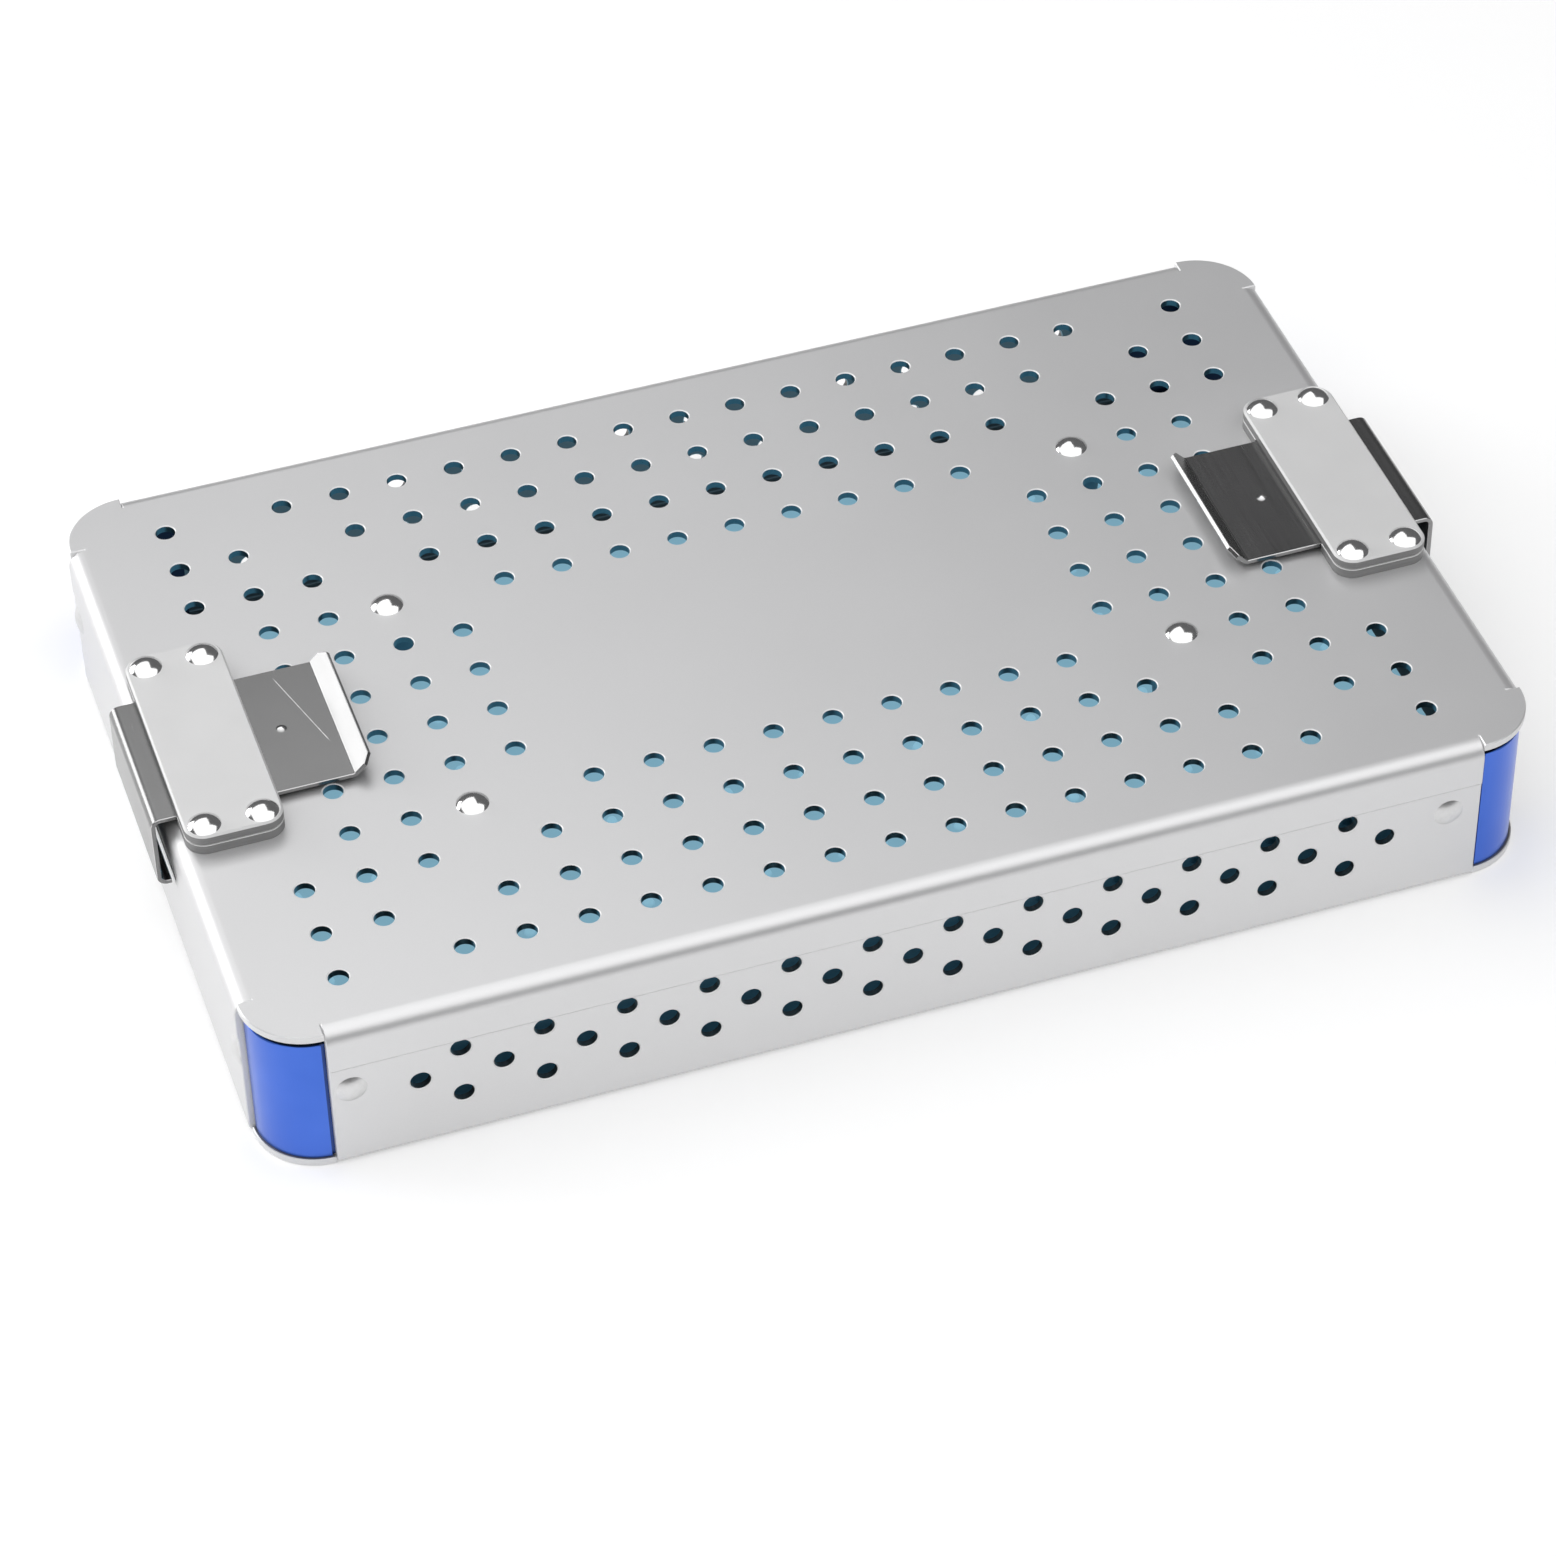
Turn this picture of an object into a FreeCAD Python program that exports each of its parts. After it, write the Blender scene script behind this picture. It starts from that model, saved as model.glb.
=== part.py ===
import FreeCAD, Part
import math
import os
from types import SimpleNamespace

import Sketcher
from FreeCAD import Placement, Rotation, Vector

# Lidded sterilization container for surgical instruments.
# The tray and the lid are folded aluminium sheets. Four extruded posts close the tray's corners and guide the
# lid. A slider at each end of the lid hooks into the tray's end wall.
# X runs along the length, Y to the back and Z up, from the middle of the underside. Lengths are millimetres.

os.makedirs("parts", exist_ok=True)
doc = FreeCAD.newDocument("SterilizationContainer")

# Driving dimensions
driving_sizes = [
    ("body_length", 320, "outside length, over the lid's end flanges"),
    ("body_width", 200, "outside width, over the lid's long flanges"),
    ("lid_top", 43, "height of the lid's top face over the table"),
    ("sheet_gauge", 2, "thickness of the tray's and the lid's sheet"),
    ("lid_fit", 0.3, "how far the lid stands proud of the tray all round"),
    ("lid_skirt", 12, "depth of the lid's flanges"),
    ("lid_bend", 4.3, "outer radius of the lid's folds"),
    ("tray_bend", 2.5, "outer radius of the tray's folds"),
    ("corner_inset", 0.8, "flat corner's edge, in from the flange's outer face"),
    ("corner_radius", 16, "radius of the lid's flat corners"),
    ("corner_relief", 0.3, "gap from a flange's end to the post's shoulder"),
    ("lid_vent_bore", 5, "bore of a vent in the lid"),
    ("lid_vent_pitch", 15, "spacing of the lid's vents, both ways"),
    ("lid_vent_columns", 19, "columns of vents along the lid"),
    ("lid_vent_rows", 12, "rows of vents across the lid"),
    ("side_rows", 4, "rows of vents along each long side of the lid's plain middle"),
    ("end_columns", 5, "columns of vents at each end of the lid's plain middle"),
    ("row_indent", 2, "vents by which the outermost row starts in from the lattice's corner"),
    ("latch_vents", 3, "vents of the outermost column before it makes way for the latch"),
    ("vent_sides", 6, "flats of a vent or a drain hole, which lie on the round"),
    ("wall_vent_bore", 5, "bore of a vent in a long wall"),
    ("wall_vent_pitch", 20, "spacing of the vents in one row of a long wall"),
    ("wall_vent_count", 13, "vents in the middle row of a long wall"),
    ("wall_vent_rise", 7.35, "height from one row of wall vents to the next"),
    ("wall_vent_height", 20.9, "height of the middle row of wall vents"),
    ("wall_shift", -1.7, "place along X of the middle of the long walls' vents and rivets"),
    ("drain_bore", 5, "bore of a drain hole in the tray's bottom"),
    ("drain_pitch_long", 75, "spacing of the drain holes along the tray"),
    ("drain_pitch_cross", 90, "spacing of the drain holes across the tray"),
    ("drain_columns", 4, "columns of drain holes"),
    ("drain_rows", 2, "rows of drain holes"),
    ("post_recess", 0.7, "post's round face, in from the tray's rounded corner"),
    ("post_gauge", 2, "thickness of a post's wings"),
    ("wing_reach", 14, "length of a post's wings along the walls"),
    ("post_headroom", 1.5, "gap from a post's top to the lid's underside"),
    ("wall_rivet_height", 24, "height of the rivets through the walls"),
    ("long_rivet_inset", 6.9, "rivet of a long wall, in from the centre of the corner's round"),
    ("end_rivet_inset", 4.2, "rivet of an end wall, in from the centre of the corner's round"),
    ("rivet_shank", 4, "diameter of a rivet's shank"),
    ("rivet_play", 0.2, "how much wider a rivet's hole is than its shank"),
    ("wall_rivet_head", 7.5, "diameter of a wall rivet's head"),
    ("wall_rivet_dome", 1.1, "height of a wall rivet's head"),
    ("lid_rivet_head", 8, "diameter of a domed head on the lid"),
    ("lid_rivet_dome", 1.8, "height of a domed head on the lid"),
    ("rivet_tail", 6, "diameter of a rivet's closed end"),
    ("rivet_tail_height", 1, "height of a rivet's closed end"),
    ("mat_gauge", 3, "thickness of the silicone mat"),
    ("mat_gap", 1.7, "gap from the mat's edge to the posts' wings"),
    ("mat_corner", 12, "corner radius of the mat"),
    ("pad_vents_in", 3, "vents from the edge of the lid's field to the line of the hold-down pads"),
    ("pad_height", 18, "height of a hold-down pad"),
    ("pad_top", 16, "diameter of a pad where it meets the lid"),
    ("pad_foot", 13, "diameter of a pad at its free end"),
    ("pad_web", 3, "thickness of silicone that the rivet clamps"),
    ("washer_outside", 9, "diameter of the washer in a pad"),
    ("washer_gauge", 1, "thickness of the washer in a pad"),
    ("pad_well_play", 1, "how much wider a pad's well is than its washer"),
    ("cover_length", 24, "latch cover plate, along X"),
    ("cover_width", 67, "latch cover plate, along Y"),
    ("cover_gauge", 2.9, "thickness of a latch cover plate"),
    ("cover_corner", 5, "corner radius of a latch cover plate"),
    ("cover_edge", 0.5, "bevel of a cover plate's top edge"),
    ("cover_inset", 2.5, "cover plate's outer edge, in from the lid's end"),
    ("channel_height", 2.7, "thickness of a latch spacer, which is the slider's channel"),
    ("latch_rivet_long", 14, "distance between a latch's rivets along X"),
    ("latch_rivet_cross", 58, "distance between a latch's rivets along Y"),
    ("slider_width", 42, "width of a slider"),
    ("slider_gauge", 1.2, "thickness of a slider"),
    ("slider_headroom", 0.2, "gap between a slider and the cover plate over it"),
    ("slider_sideplay", 0.3, "gap between a slider and each spacer"),
    ("slider_overhang", 4, "outer face of a slider's tab, out from the lid's end"),
    ("slider_reach", 49.5, "length of a slider's flat, from the tab's outer face to its finger lip"),
    ("finger_run", 4.8, "length of a slider's finger lip along X"),
    ("finger_bend", 1, "inner radius of the finger lip's fold"),
    ("tab_drop", 18.5, "depth of a slider's tab below the lid's top face"),
    ("tab_bend", 2.5, "outer radius of a slider's folds at its tab"),
    ("hook_gap", 0.5, "tip of a slider's hook, out from the lid's end when the latch is open"),
    ("stop_gap", 5.6, "gap from a slider's stop dimple to the cover plate when the latch is open"),
    ("stop_width", 2.8, "diameter of a stop dimple"),
    ("stop_rise", 0.7, "height of a stop dimple"),
    ("slot_play", 0.8, "clearance round the hook in its slot"),
]

sizes = doc.addObject("Spreadsheet::Sheet", "Sizes")
for row, (alias, value, note) in enumerate(driving_sizes, start=1):
    sizes.set(f"A{row}", note)
    sizes.set(f"B{row}", str(value))
    sizes.setAlias(f"B{row}", alias)
doc.recompute()


class Size:
    """A length worked out from the sheet: its number, and the expression that gives it in the document."""

    def __init__(self, text, number):
        self.text = text
        self.number = number

    def _with(self, sign, other, number):
        other_text = other.text if isinstance(other, Size) else repr(other)
        return Size(f"({self.text} {sign} {other_text})", number)

    def __add__(self, other):
        return self._with("+", other, self.number + number_of(other))

    def __sub__(self, other):
        return self._with("-", other, self.number - number_of(other))

    def __mul__(self, other):
        return self._with("*", other, self.number * number_of(other))

    def __truediv__(self, other):
        return self._with("/", other, self.number / number_of(other))

    def __neg__(self):
        return self * -1


def number_of(size):
    """The plain number of a Size, or of a number."""
    return size.number if isinstance(size, Size) else size


def text_of(size):
    """The document's expression for a Size, or for a number."""
    return size.text if isinstance(size, Size) else repr(size)


dim = SimpleNamespace(**{alias: Size(f"Sizes.{alias}", getattr(sizes, alias)) for alias, _, _ in driving_sizes})


def new_body(label):
    """An empty body that carries a sub-part's name."""
    body = doc.addObject("PartDesign::Body", label)
    body.Label = label
    return body


def origin_of(body, role):
    """One of the body's own origin planes or axes."""
    return next(feature for feature in body.Origin.OriginFeatures if feature.Role == role)


def new_sketch(body, name, role, shift=(0, 0, 0), turn=0):
    """A sketch on an origin plane, shifted in that plane's own axes and turned about its normal."""
    sketch = body.newObject("Sketcher::SketchObject", name)
    sketch.AttachmentSupport = [(origin_of(body, role), "")]
    sketch.MapMode = "FlatFace"
    sketch.AttachmentOffset = Placement(Vector(0, 0, 0), Rotation(Vector(0, 0, 1), turn))
    for axis, distance in zip("xyz", shift):
        sketch.setExpression(f"AttachmentOffset.Base.{axis}", text_of(distance))
    return sketch


def constrain(sketch, wanted):
    """Constraints with their values kept as expressions. One without a value joins two points."""
    listed = []
    for kind, places, value in wanted:
        numbers = () if value is None else (number_of(value),)
        listed.append(Sketcher.Constraint(kind, *places, *numbers))
    for index, (_, _, value) in zip(sketch.addConstraint(listed), wanted):
        if value is not None:
            sketch.setExpression(f"Constraints[{index}]", text_of(value))


def draw_outline(sketch, start, steps):
    """A closed outline from start through the steps.

    A step is (x, y) for a straight line, or (x, y, radius, turn) for an arc, where turn is 1 for an arc that
    bears left and -1 for one that bears right.
    """
    here = start
    curves = []
    ends = []
    for step in steps:
        first = Vector(number_of(here[0]), number_of(here[1]), 0)
        last = Vector(number_of(step[0]), number_of(step[1]), 0)
        if len(step) == 2:
            curves.append(Part.LineSegment(first, last))
            ends.append((1, 2))
        else:
            radius, turn = step[2:]
            chord = last - first
            reach = math.sqrt(max(number_of(radius) ** 2 - (chord.Length / 2) ** 2, 0))
            side = Vector(-chord.y, chord.x, 0).normalize() * (reach * turn)
            centre = (first + last) / 2 + side
            circle = Part.Circle(centre, Vector(0, 0, 1), number_of(radius))
            low, high = (first, last) if turn > 0 else (last, first)
            angles = [math.atan2(point.y - centre.y, point.x - centre.x) for point in (low, high)]
            curves.append(Part.ArcOfCircle(circle, *angles))
            ends.append((1, 2) if turn > 0 else (2, 1))
        here = step[:2]
    drawn = sketch.addGeometry(curves, False)
    here = start
    wanted = []
    for index, step in enumerate(steps):
        curve = drawn[index]
        head = ends[index][0]
        wanted.append(("Coincident", (drawn[index - 1], ends[index - 1][1], curve, head), None))
        wanted.append(("DistanceX", (-1, 1, curve, head), here[0]))
        wanted.append(("DistanceY", (-1, 1, curve, head), here[1]))
        if len(step) > 2:
            wanted.append(("Radius", (curve,), step[2]))
        here = step[:2]
    constrain(sketch, wanted)


def draw_rounds(sketch, centres, bore):
    """Small round outlines, each with eight flats that lie on the round."""
    half = bore / 2
    short = half * math.tan(math.pi / 8)
    for x, y in centres:
        draw_outline(sketch, (x + half, y - short), [
            (x + half, y + short),
            (x + short, y + half),
            (x - short, y + half),
            (x - half, y + short),
            (x - half, y - short),
            (x - short, y - half),
            (x + short, y - half),
            (x + half, y - short),
        ])


def draw_box(sketch, x_low, x_high, y_low, y_high):
    """A rectangle between the given sides."""
    draw_outline(sketch, (x_low, y_low), [(x_high, y_low), (x_high, y_high), (x_low, y_high), (x_low, y_low)])


def draw_rounded_box(sketch, x_low, x_high, y_low, y_high, radius):
    """A rectangle between the given sides, with rounded corners."""
    draw_outline(sketch, (x_low + radius, y_low), [
        (x_high - radius, y_low),
        (x_high, y_low + radius, radius, 1),
        (x_high, y_high - radius),
        (x_high - radius, y_high, radius, 1),
        (x_low + radius, y_high),
        (x_low, y_high - radius, radius, 1),
        (x_low, y_low + radius),
        (x_low + radius, y_low, radius, 1),
    ])


def add_pad(body, sketch, length, symmetric=False, against=False, narrowing=None):
    """Metal or silicone added from a sketch: along its normal, against it, or to both sides of it.

    narrowing is how much smaller the far end's half width is, and gives the sides their slope.
    """
    pad = body.newObject("PartDesign::Pad", f"{sketch.Name}_pad")
    pad.Profile = sketch
    pad.SideType = "Symmetric" if symmetric else "One side"
    pad.Reversed = against
    pad.setExpression("Length", text_of(length))
    body.Tip = pad
    doc.recompute()
    if narrowing is None:
        return pad
    slope = f"atan({text_of(narrowing)} / {text_of(length)})"
    if pad.Placement.Rotation.isIdentity():
        return slope_sides(body, pad, slope)
    pad.setExpression("TaperAngle", f"-{slope}")
    doc.recompute()
    return pad


def slope_sides(body, pad, angle):
    """An upright pad's sides, sloped about the plane of its sketch. They stay flat."""
    sketch = pad.Profile[0]
    foot = body.newObject("PartDesign::Plane", f"{pad.Name}_foot")
    foot.AttachmentSupport = sketch.AttachmentSupport
    foot.MapMode = "FlatFace"
    foot.setExpression("AttachmentOffset.Base.z", f"{sketch.Name}.AttachmentOffset.Base.z")
    doc.recompute()
    added = pad.AddSubShape.transformed(pad.Placement.Matrix)
    own_sides = [face.CenterOfMass for face in added.Faces if abs(face.normalAt(0, 0).z) < 0.5]
    sides = [f"Face{index}" for index, face in enumerate(pad.Shape.Faces, start=1)
             if any(face.CenterOfMass.distanceToPoint(centre) < 0.001 for centre in own_sides)]
    sloped = body.newObject("PartDesign::Draft", f"{pad.Name}_slope")
    sloped.Base = (pad, sides)
    sloped.NeutralPlane = (foot, [""])
    sloped.Reversed = pad.Reversed
    sloped.setExpression("Angle", angle)
    body.Tip = sloped
    doc.recompute()
    if sloped.Shape.Volume >= pad.Shape.Volume:
        raise ValueError(f"{pad.Name} did not narrow")
    return sloped


def cut_pocket(body, sketch, length, symmetric=False):
    """Metal cut away from a sketch, against its normal or to both sides of it."""
    before = body.Shape.Volume
    pocket = body.newObject("PartDesign::Pocket", f"{sketch.Name}_cut")
    pocket.Profile = sketch
    pocket.SideType = "Symmetric" if symmetric else "One side"
    pocket.setExpression("Length", text_of(length))
    body.Tip = pocket
    doc.recompute()
    if body.Shape.Volume >= before:
        raise ValueError(f"{sketch.Name} cuts nothing from {body.Label}")
    return pocket


def add_punches(label, centres, bore, length, lying=False):
    """Punches for round holes, with flats that lie on the round. They stand up, or lie along Y from the back."""
    pose = Rotation(Vector(1, 0, 0), 90) if lying else Rotation()
    turn = Rotation(Vector(0, 0, 1), 180 / dim.vent_sides.number)
    punches = []
    for index, centre in enumerate(centres):
        tool = doc.addObject("Part::Prism", f"{label}_{index}")
        tool.setExpression("Polygon", dim.vent_sides.text)
        tool.setExpression("Circumradius", f"{bore.text} / 2 / cos(180 / {dim.vent_sides.text})")
        tool.setExpression("Height", text_of(length))
        tool.Placement = Placement(Vector(0, 0, 0), pose * turn)
        for axis, place in zip("xyz", centre):
            tool.setExpression(f"Placement.Base.{axis}", text_of(place))
        punches.append(tool)
    return punches


def perforate(label, sheet, punches):
    """The sub-part that is left of a folded sheet once every punch has gone through it."""
    tools = doc.addObject("Part::Compound", f"{label}_punches")
    tools.Links = punches
    perforated = doc.addObject("Part::Cut", label)
    perforated.Label = label
    perforated.Base = sheet
    perforated.Tool = tools
    doc.recompute()
    if perforated.Shape.Volume >= sheet.Shape.Volume:
        raise ValueError(f"the punches cut nothing from {label}")
    return perforated


def steps_about(middle, pitch, count):
    """Places in a row, centred on the middle."""
    return [middle + pitch * (index - (count - 1) / 2) for index in range(count)]


# Faces and centres that several pieces share
lid_half_length = dim.body_length / 2
lid_half_width = dim.body_width / 2
tray_half_length = lid_half_length - dim.lid_fit
tray_half_width = lid_half_width - dim.lid_fit
lid_underside = dim.lid_top - dim.sheet_gauge
corner_x = lid_half_length - dim.corner_inset - dim.corner_radius
corner_y = lid_half_width - dim.corner_inset - dim.corner_radius
long_rivet_place = corner_x - dim.long_rivet_inset
end_rivet_place = corner_y - dim.end_rivet_inset
flange_x = corner_x - dim.corner_relief
flange_y = corner_y - dim.corner_relief
tray_corner_radius = dim.corner_radius - dim.lid_fit
tray_wall_top = dim.lid_top - dim.lid_skirt
wing_face_x = tray_half_length - dim.sheet_gauge
wing_face_y = tray_half_width - dim.sheet_gauge
rivet_hole = dim.rivet_shank + dim.rivet_play


def fold_sheet(body, half_length, half_width, face, skirt, bend, radius, up):
    """A flat panel with rounded corners, and a flange folded from each of its four sides.

    face is the height of the panel's outer face. The flanges rise where up is 1, and hang where it is -1.
    """
    gauge = dim.sheet_gauge
    panel = new_sketch(body, f"{body.Name}_panel", "XY_Plane", (0, 0, face if up > 0 else face - gauge))
    start = (half_length - bend, flange_y)
    corner = [
        (corner_x + radius, flange_y),
        (corner_x + radius, corner_y),
        (corner_x, corner_y + radius, radius, 1),
        (flange_x, corner_y + radius),
        (flange_x, half_width - bend),
    ]
    steps = []
    for quadrant, (x_sign, y_sign) in enumerate([(1, 1), (-1, 1), (-1, -1), (1, -1)]):
        points = [start] + [step[:2] for step in corner]
        if quadrant % 2:
            points = points[::-1]
        for index, (x, y) in enumerate(points):
            arc = (radius, 1) if index == 3 else ()
            steps.append((x * x_sign, y * y_sign, *arc))
    draw_outline(panel, (steps[0][0], steps[0][1]), steps[1:] + steps[:1])
    add_pad(body, panel, gauge)

    def draw_flanges(sketch, half):
        for side in (-1, 1):
            draw_outline(sketch, ((half - bend) * side, face), [
                (half * side, face + bend * up, bend, side * up),
                (half * side, face + skirt * up),
                ((half - gauge) * side, face + skirt * up),
                ((half - gauge) * side, face + bend * up),
                ((half - bend) * side, face + gauge * up, bend - gauge, -side * up),
                ((half - bend) * side, face),
            ])

    long_flanges = new_sketch(body, f"{body.Name}_long_flanges", "YZ_Plane")
    draw_flanges(long_flanges, half_width)
    add_pad(body, long_flanges, flange_x * 2, symmetric=True)
    end_flanges = new_sketch(body, f"{body.Name}_end_flanges", "XZ_Plane")
    draw_flanges(end_flanges, half_length)
    add_pad(body, end_flanges, flange_y * 2, symmetric=True)


def punch(body, name, role, lift, centres, diameter, depth, symmetric=False):
    """Round holes, punched from a plane that stands lift away from the origin."""
    sketch = new_sketch(body, name, role, (0, 0, lift))
    draw_rounds(sketch, centres, diameter)
    return cut_pocket(body, sketch, depth, symmetric)


def four_ways(x, y):
    """The four points that mirror one point in both axes."""
    return [(x * x_sign, y * y_sign) for x_sign in (-1, 1) for y_sign in (-1, 1)]


# Where the rivets stand in each long wall, from its middle, and in each end wall
long_wall_rivet_places = [(dim.wall_shift + long_rivet_place * sign, dim.wall_rivet_height)
                          for sign in (-1, 1)]
end_wall_rivet_places = [(end_rivet_place * sign, dim.wall_rivet_height) for sign in (-1, 1)]

# The hook's slot and the slider's side view share these heights
slider_top = dim.lid_top + dim.channel_height - dim.slider_headroom
hook_low = dim.lid_top - dim.tab_drop
hook_high = hook_low + dim.slider_gauge


def make_base_tray():
    """Bottom panel and four walls, with vents in the long walls and a slot for the hook in each end wall."""
    body = new_body("tray_sheet")
    fold_sheet(body, tray_half_length, tray_half_width, Size("0", 0), tray_wall_top, dim.tray_bend,
               tray_corner_radius, 1)
    through = dim.body_length * 2
    punch(body, "long_wall_rivet_holes", "XZ_Plane", 0, long_wall_rivet_places, rivet_hole, through, True)
    punch(body, "end_wall_rivet_holes", "YZ_Plane", 0, end_wall_rivet_places, rivet_hole, through, True)
    slots = new_sketch(body, "hook_slots", "YZ_Plane")
    slot_half = dim.slider_width / 2 + dim.slot_play
    draw_box(slots, -slot_half, slot_half, hook_low - dim.slot_play, hook_high + dim.slot_play)
    cut_pocket(body, slots, through, symmetric=True)

    in_middle_row = round(dim.wall_vent_count.number)
    rise = dim.wall_vent_rise
    vents = [(x, dim.body_width, dim.wall_vent_height + rise * row) for row in (-1, 0, 1)
             for x in steps_about(dim.wall_shift, dim.wall_vent_pitch, in_middle_row - abs(row))]
    drains = [(x, y, -dim.sheet_gauge)
              for x in steps_about(Size("0", 0), dim.drain_pitch_long, round(dim.drain_columns.number))
              for y in steps_about(Size("0", 0), dim.drain_pitch_cross, round(dim.drain_rows.number))]
    punches = add_punches("wall_vent", vents, dim.wall_vent_bore, dim.body_width * 2, lying=True)
    punches += add_punches("drain", drains, dim.drain_bore, dim.sheet_gauge * 3)
    return perforate("base_tray", body, punches)


def make_corner_post(x_sign, y_sign, label):
    """Extruded post: a quarter-round shell that closes the corner, with a wing behind each wall."""
    body = new_body(label)
    turn = x_sign * y_sign
    outer = tray_corner_radius - dim.post_recess
    inner = wing_face_y - dim.post_gauge - corner_y

    def placed(*steps):
        return [(step[0] * x_sign, step[1] * y_sign, *step[2:]) for step in steps]

    winged = new_sketch(body, f"{label}_winged", "XY_Plane", (0, 0, dim.tray_bend))
    winged_steps = placed(
        (wing_face_x, corner_y - dim.wing_reach),
        (wing_face_x, corner_y),
        (corner_x + outer, corner_y),
        (corner_x, corner_y + outer, outer, turn),
        (corner_x, wing_face_y),
        (corner_x - dim.wing_reach, wing_face_y),
        (corner_x - dim.wing_reach, corner_y + inner),
        (corner_x, corner_y + inner),
        (corner_x + inner, corner_y, inner, -turn),
        (corner_x + inner, corner_y - dim.wing_reach),
    )
    draw_outline(winged, winged_steps[-1], winged_steps)
    add_pad(body, winged, dim.lid_top - dim.lid_bend - dim.tray_bend)

    shell = new_sketch(body, f"{label}_shell", "XY_Plane", (0, 0, dim.sheet_gauge))
    shell_steps = placed(
        (corner_x + outer, corner_y),
        (corner_x, corner_y + outer, outer, turn),
        (corner_x, corner_y + inner),
        (corner_x + inner, corner_y, inner, -turn),
    )
    draw_outline(shell, shell_steps[-1][:2], shell_steps)
    add_pad(body, shell, lid_underside - dim.post_headroom - dim.sheet_gauge)

    long_rivet = long_wall_rivet_places[(x_sign + 1) // 2]
    punch(body, f"{label}_long_hole", "XZ_Plane", 0, [long_rivet], rivet_hole, dim.body_width * 2, True)
    end_rivet = end_wall_rivet_places[(y_sign + 1) // 2]
    punch(body, f"{label}_end_hole", "YZ_Plane", 0, [end_rivet], rivet_hole, dim.body_length * 2, True)
    return body


# A low dome is two sloped tiers, given as shares of its height and of its width
tier_height = 0.6
shoulder_width = 0.67
crown_width = 0.3


def add_dome(body, name, role, lift, centres, width, height):
    """Low domes on a face, each a steep tier under a shallow one."""
    lower = new_sketch(body, f"{name}_lower_tier", role, (0, 0, lift))
    draw_rounds(lower, centres, width)
    first = add_pad(body, lower, height * tier_height, narrowing=width * (1 - shoulder_width) / 2)
    upper = new_sketch(body, f"{name}_upper_tier", role, (0, 0, lift + height * tier_height))
    draw_rounds(upper, centres, width * shoulder_width)
    second = add_pad(body, upper, height * (1 - tier_height),
                     narrowing=width * (shoulder_width - crown_width) / 2)
    return [first, second]


def add_rivets(body, role, face, centres, head, dome, grip):
    """Rivets with a domed head on the face, a shank through the grip under it, and a closed end."""
    name = body.Name
    domes = add_dome(body, f"{name}_head", role, face, centres, head, dome)
    shank = new_sketch(body, f"{name}_shank", role, (0, 0, face))
    draw_rounds(shank, centres, dim.rivet_shank)
    tail = new_sketch(body, f"{name}_tail", role, (0, 0, face - grip))
    draw_rounds(tail, centres, dim.rivet_tail)
    return domes + [add_pad(body, shank, grip, against=True),
                    add_pad(body, tail, dim.rivet_tail_height, against=True)]


def make_wall_rivets(label, role, half_face, centres):
    """Rivets through one wall and the posts' wings behind it, and their like in the opposite wall."""
    body = new_body(label)
    features = add_rivets(body, role, half_face, centres, dim.wall_rivet_head, dim.wall_rivet_dome,
                          dim.sheet_gauge + dim.post_gauge)
    opposite = body.newObject("PartDesign::Mirrored", f"{label}_opposite")
    opposite.Originals = features
    opposite.MirrorPlane = (origin_of(body, role), [""])
    body.Tip = opposite
    doc.recompute()
    return body


def make_silicone_mat():
    """Soft mat that lies on the tray's bottom, inside the posts' wings."""
    body = new_body("silicone_mat")
    outline = new_sketch(body, "mat_outline", "XY_Plane", (0, 0, dim.sheet_gauge))
    half_length = wing_face_x - dim.post_gauge - dim.mat_gap
    half_width = wing_face_y - dim.post_gauge - dim.mat_gap
    draw_rounded_box(outline, -half_length, half_length, -half_width, half_width, dim.mat_corner)
    add_pad(body, outline, dim.mat_gauge)
    return body


# The lid's field of vents is one square lattice, and the hold-down pads stand on it
field_half_length = dim.lid_vent_pitch * (dim.lid_vent_columns - 1) / 2
field_half_width = dim.lid_vent_pitch * (dim.lid_vent_rows - 1) / 2
pad_x = field_half_length - dim.lid_vent_pitch * dim.pad_vents_in
pad_y = field_half_width - dim.lid_vent_pitch * dim.pad_vents_in
cover_place = lid_half_length - dim.cover_inset - dim.cover_length / 2
cover_underside = dim.lid_top + dim.channel_height
cover_top = cover_underside + dim.cover_gauge


def latch_rivet_places(side):
    """Where the four rivets of the latch at one end stand."""
    return [(cover_place * side + x, y) for x, y in
            four_ways(dim.latch_rivet_long / 2, dim.latch_rivet_cross / 2)]


def has_vent(from_end, from_side):
    """Whether the lid has a vent so many places in from the lattice's nearer end and its nearer side.

    The vents keep a plain middle. The rows along each side get shorter towards it, and so do the columns at
    each end, except where a latch or a hold-down pad's rivet takes the place of a vent.
    """
    in_row = from_side < dim.side_rows.number and from_end >= from_side + dim.row_indent.number
    in_column = from_end < dim.end_columns.number and from_side >= from_end
    under_latch = from_end == 0 and from_side >= dim.latch_vents.number
    at_pad = from_end == from_side == dim.pad_vents_in.number
    return (in_row or in_column) and not under_latch and not at_pad


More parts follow.
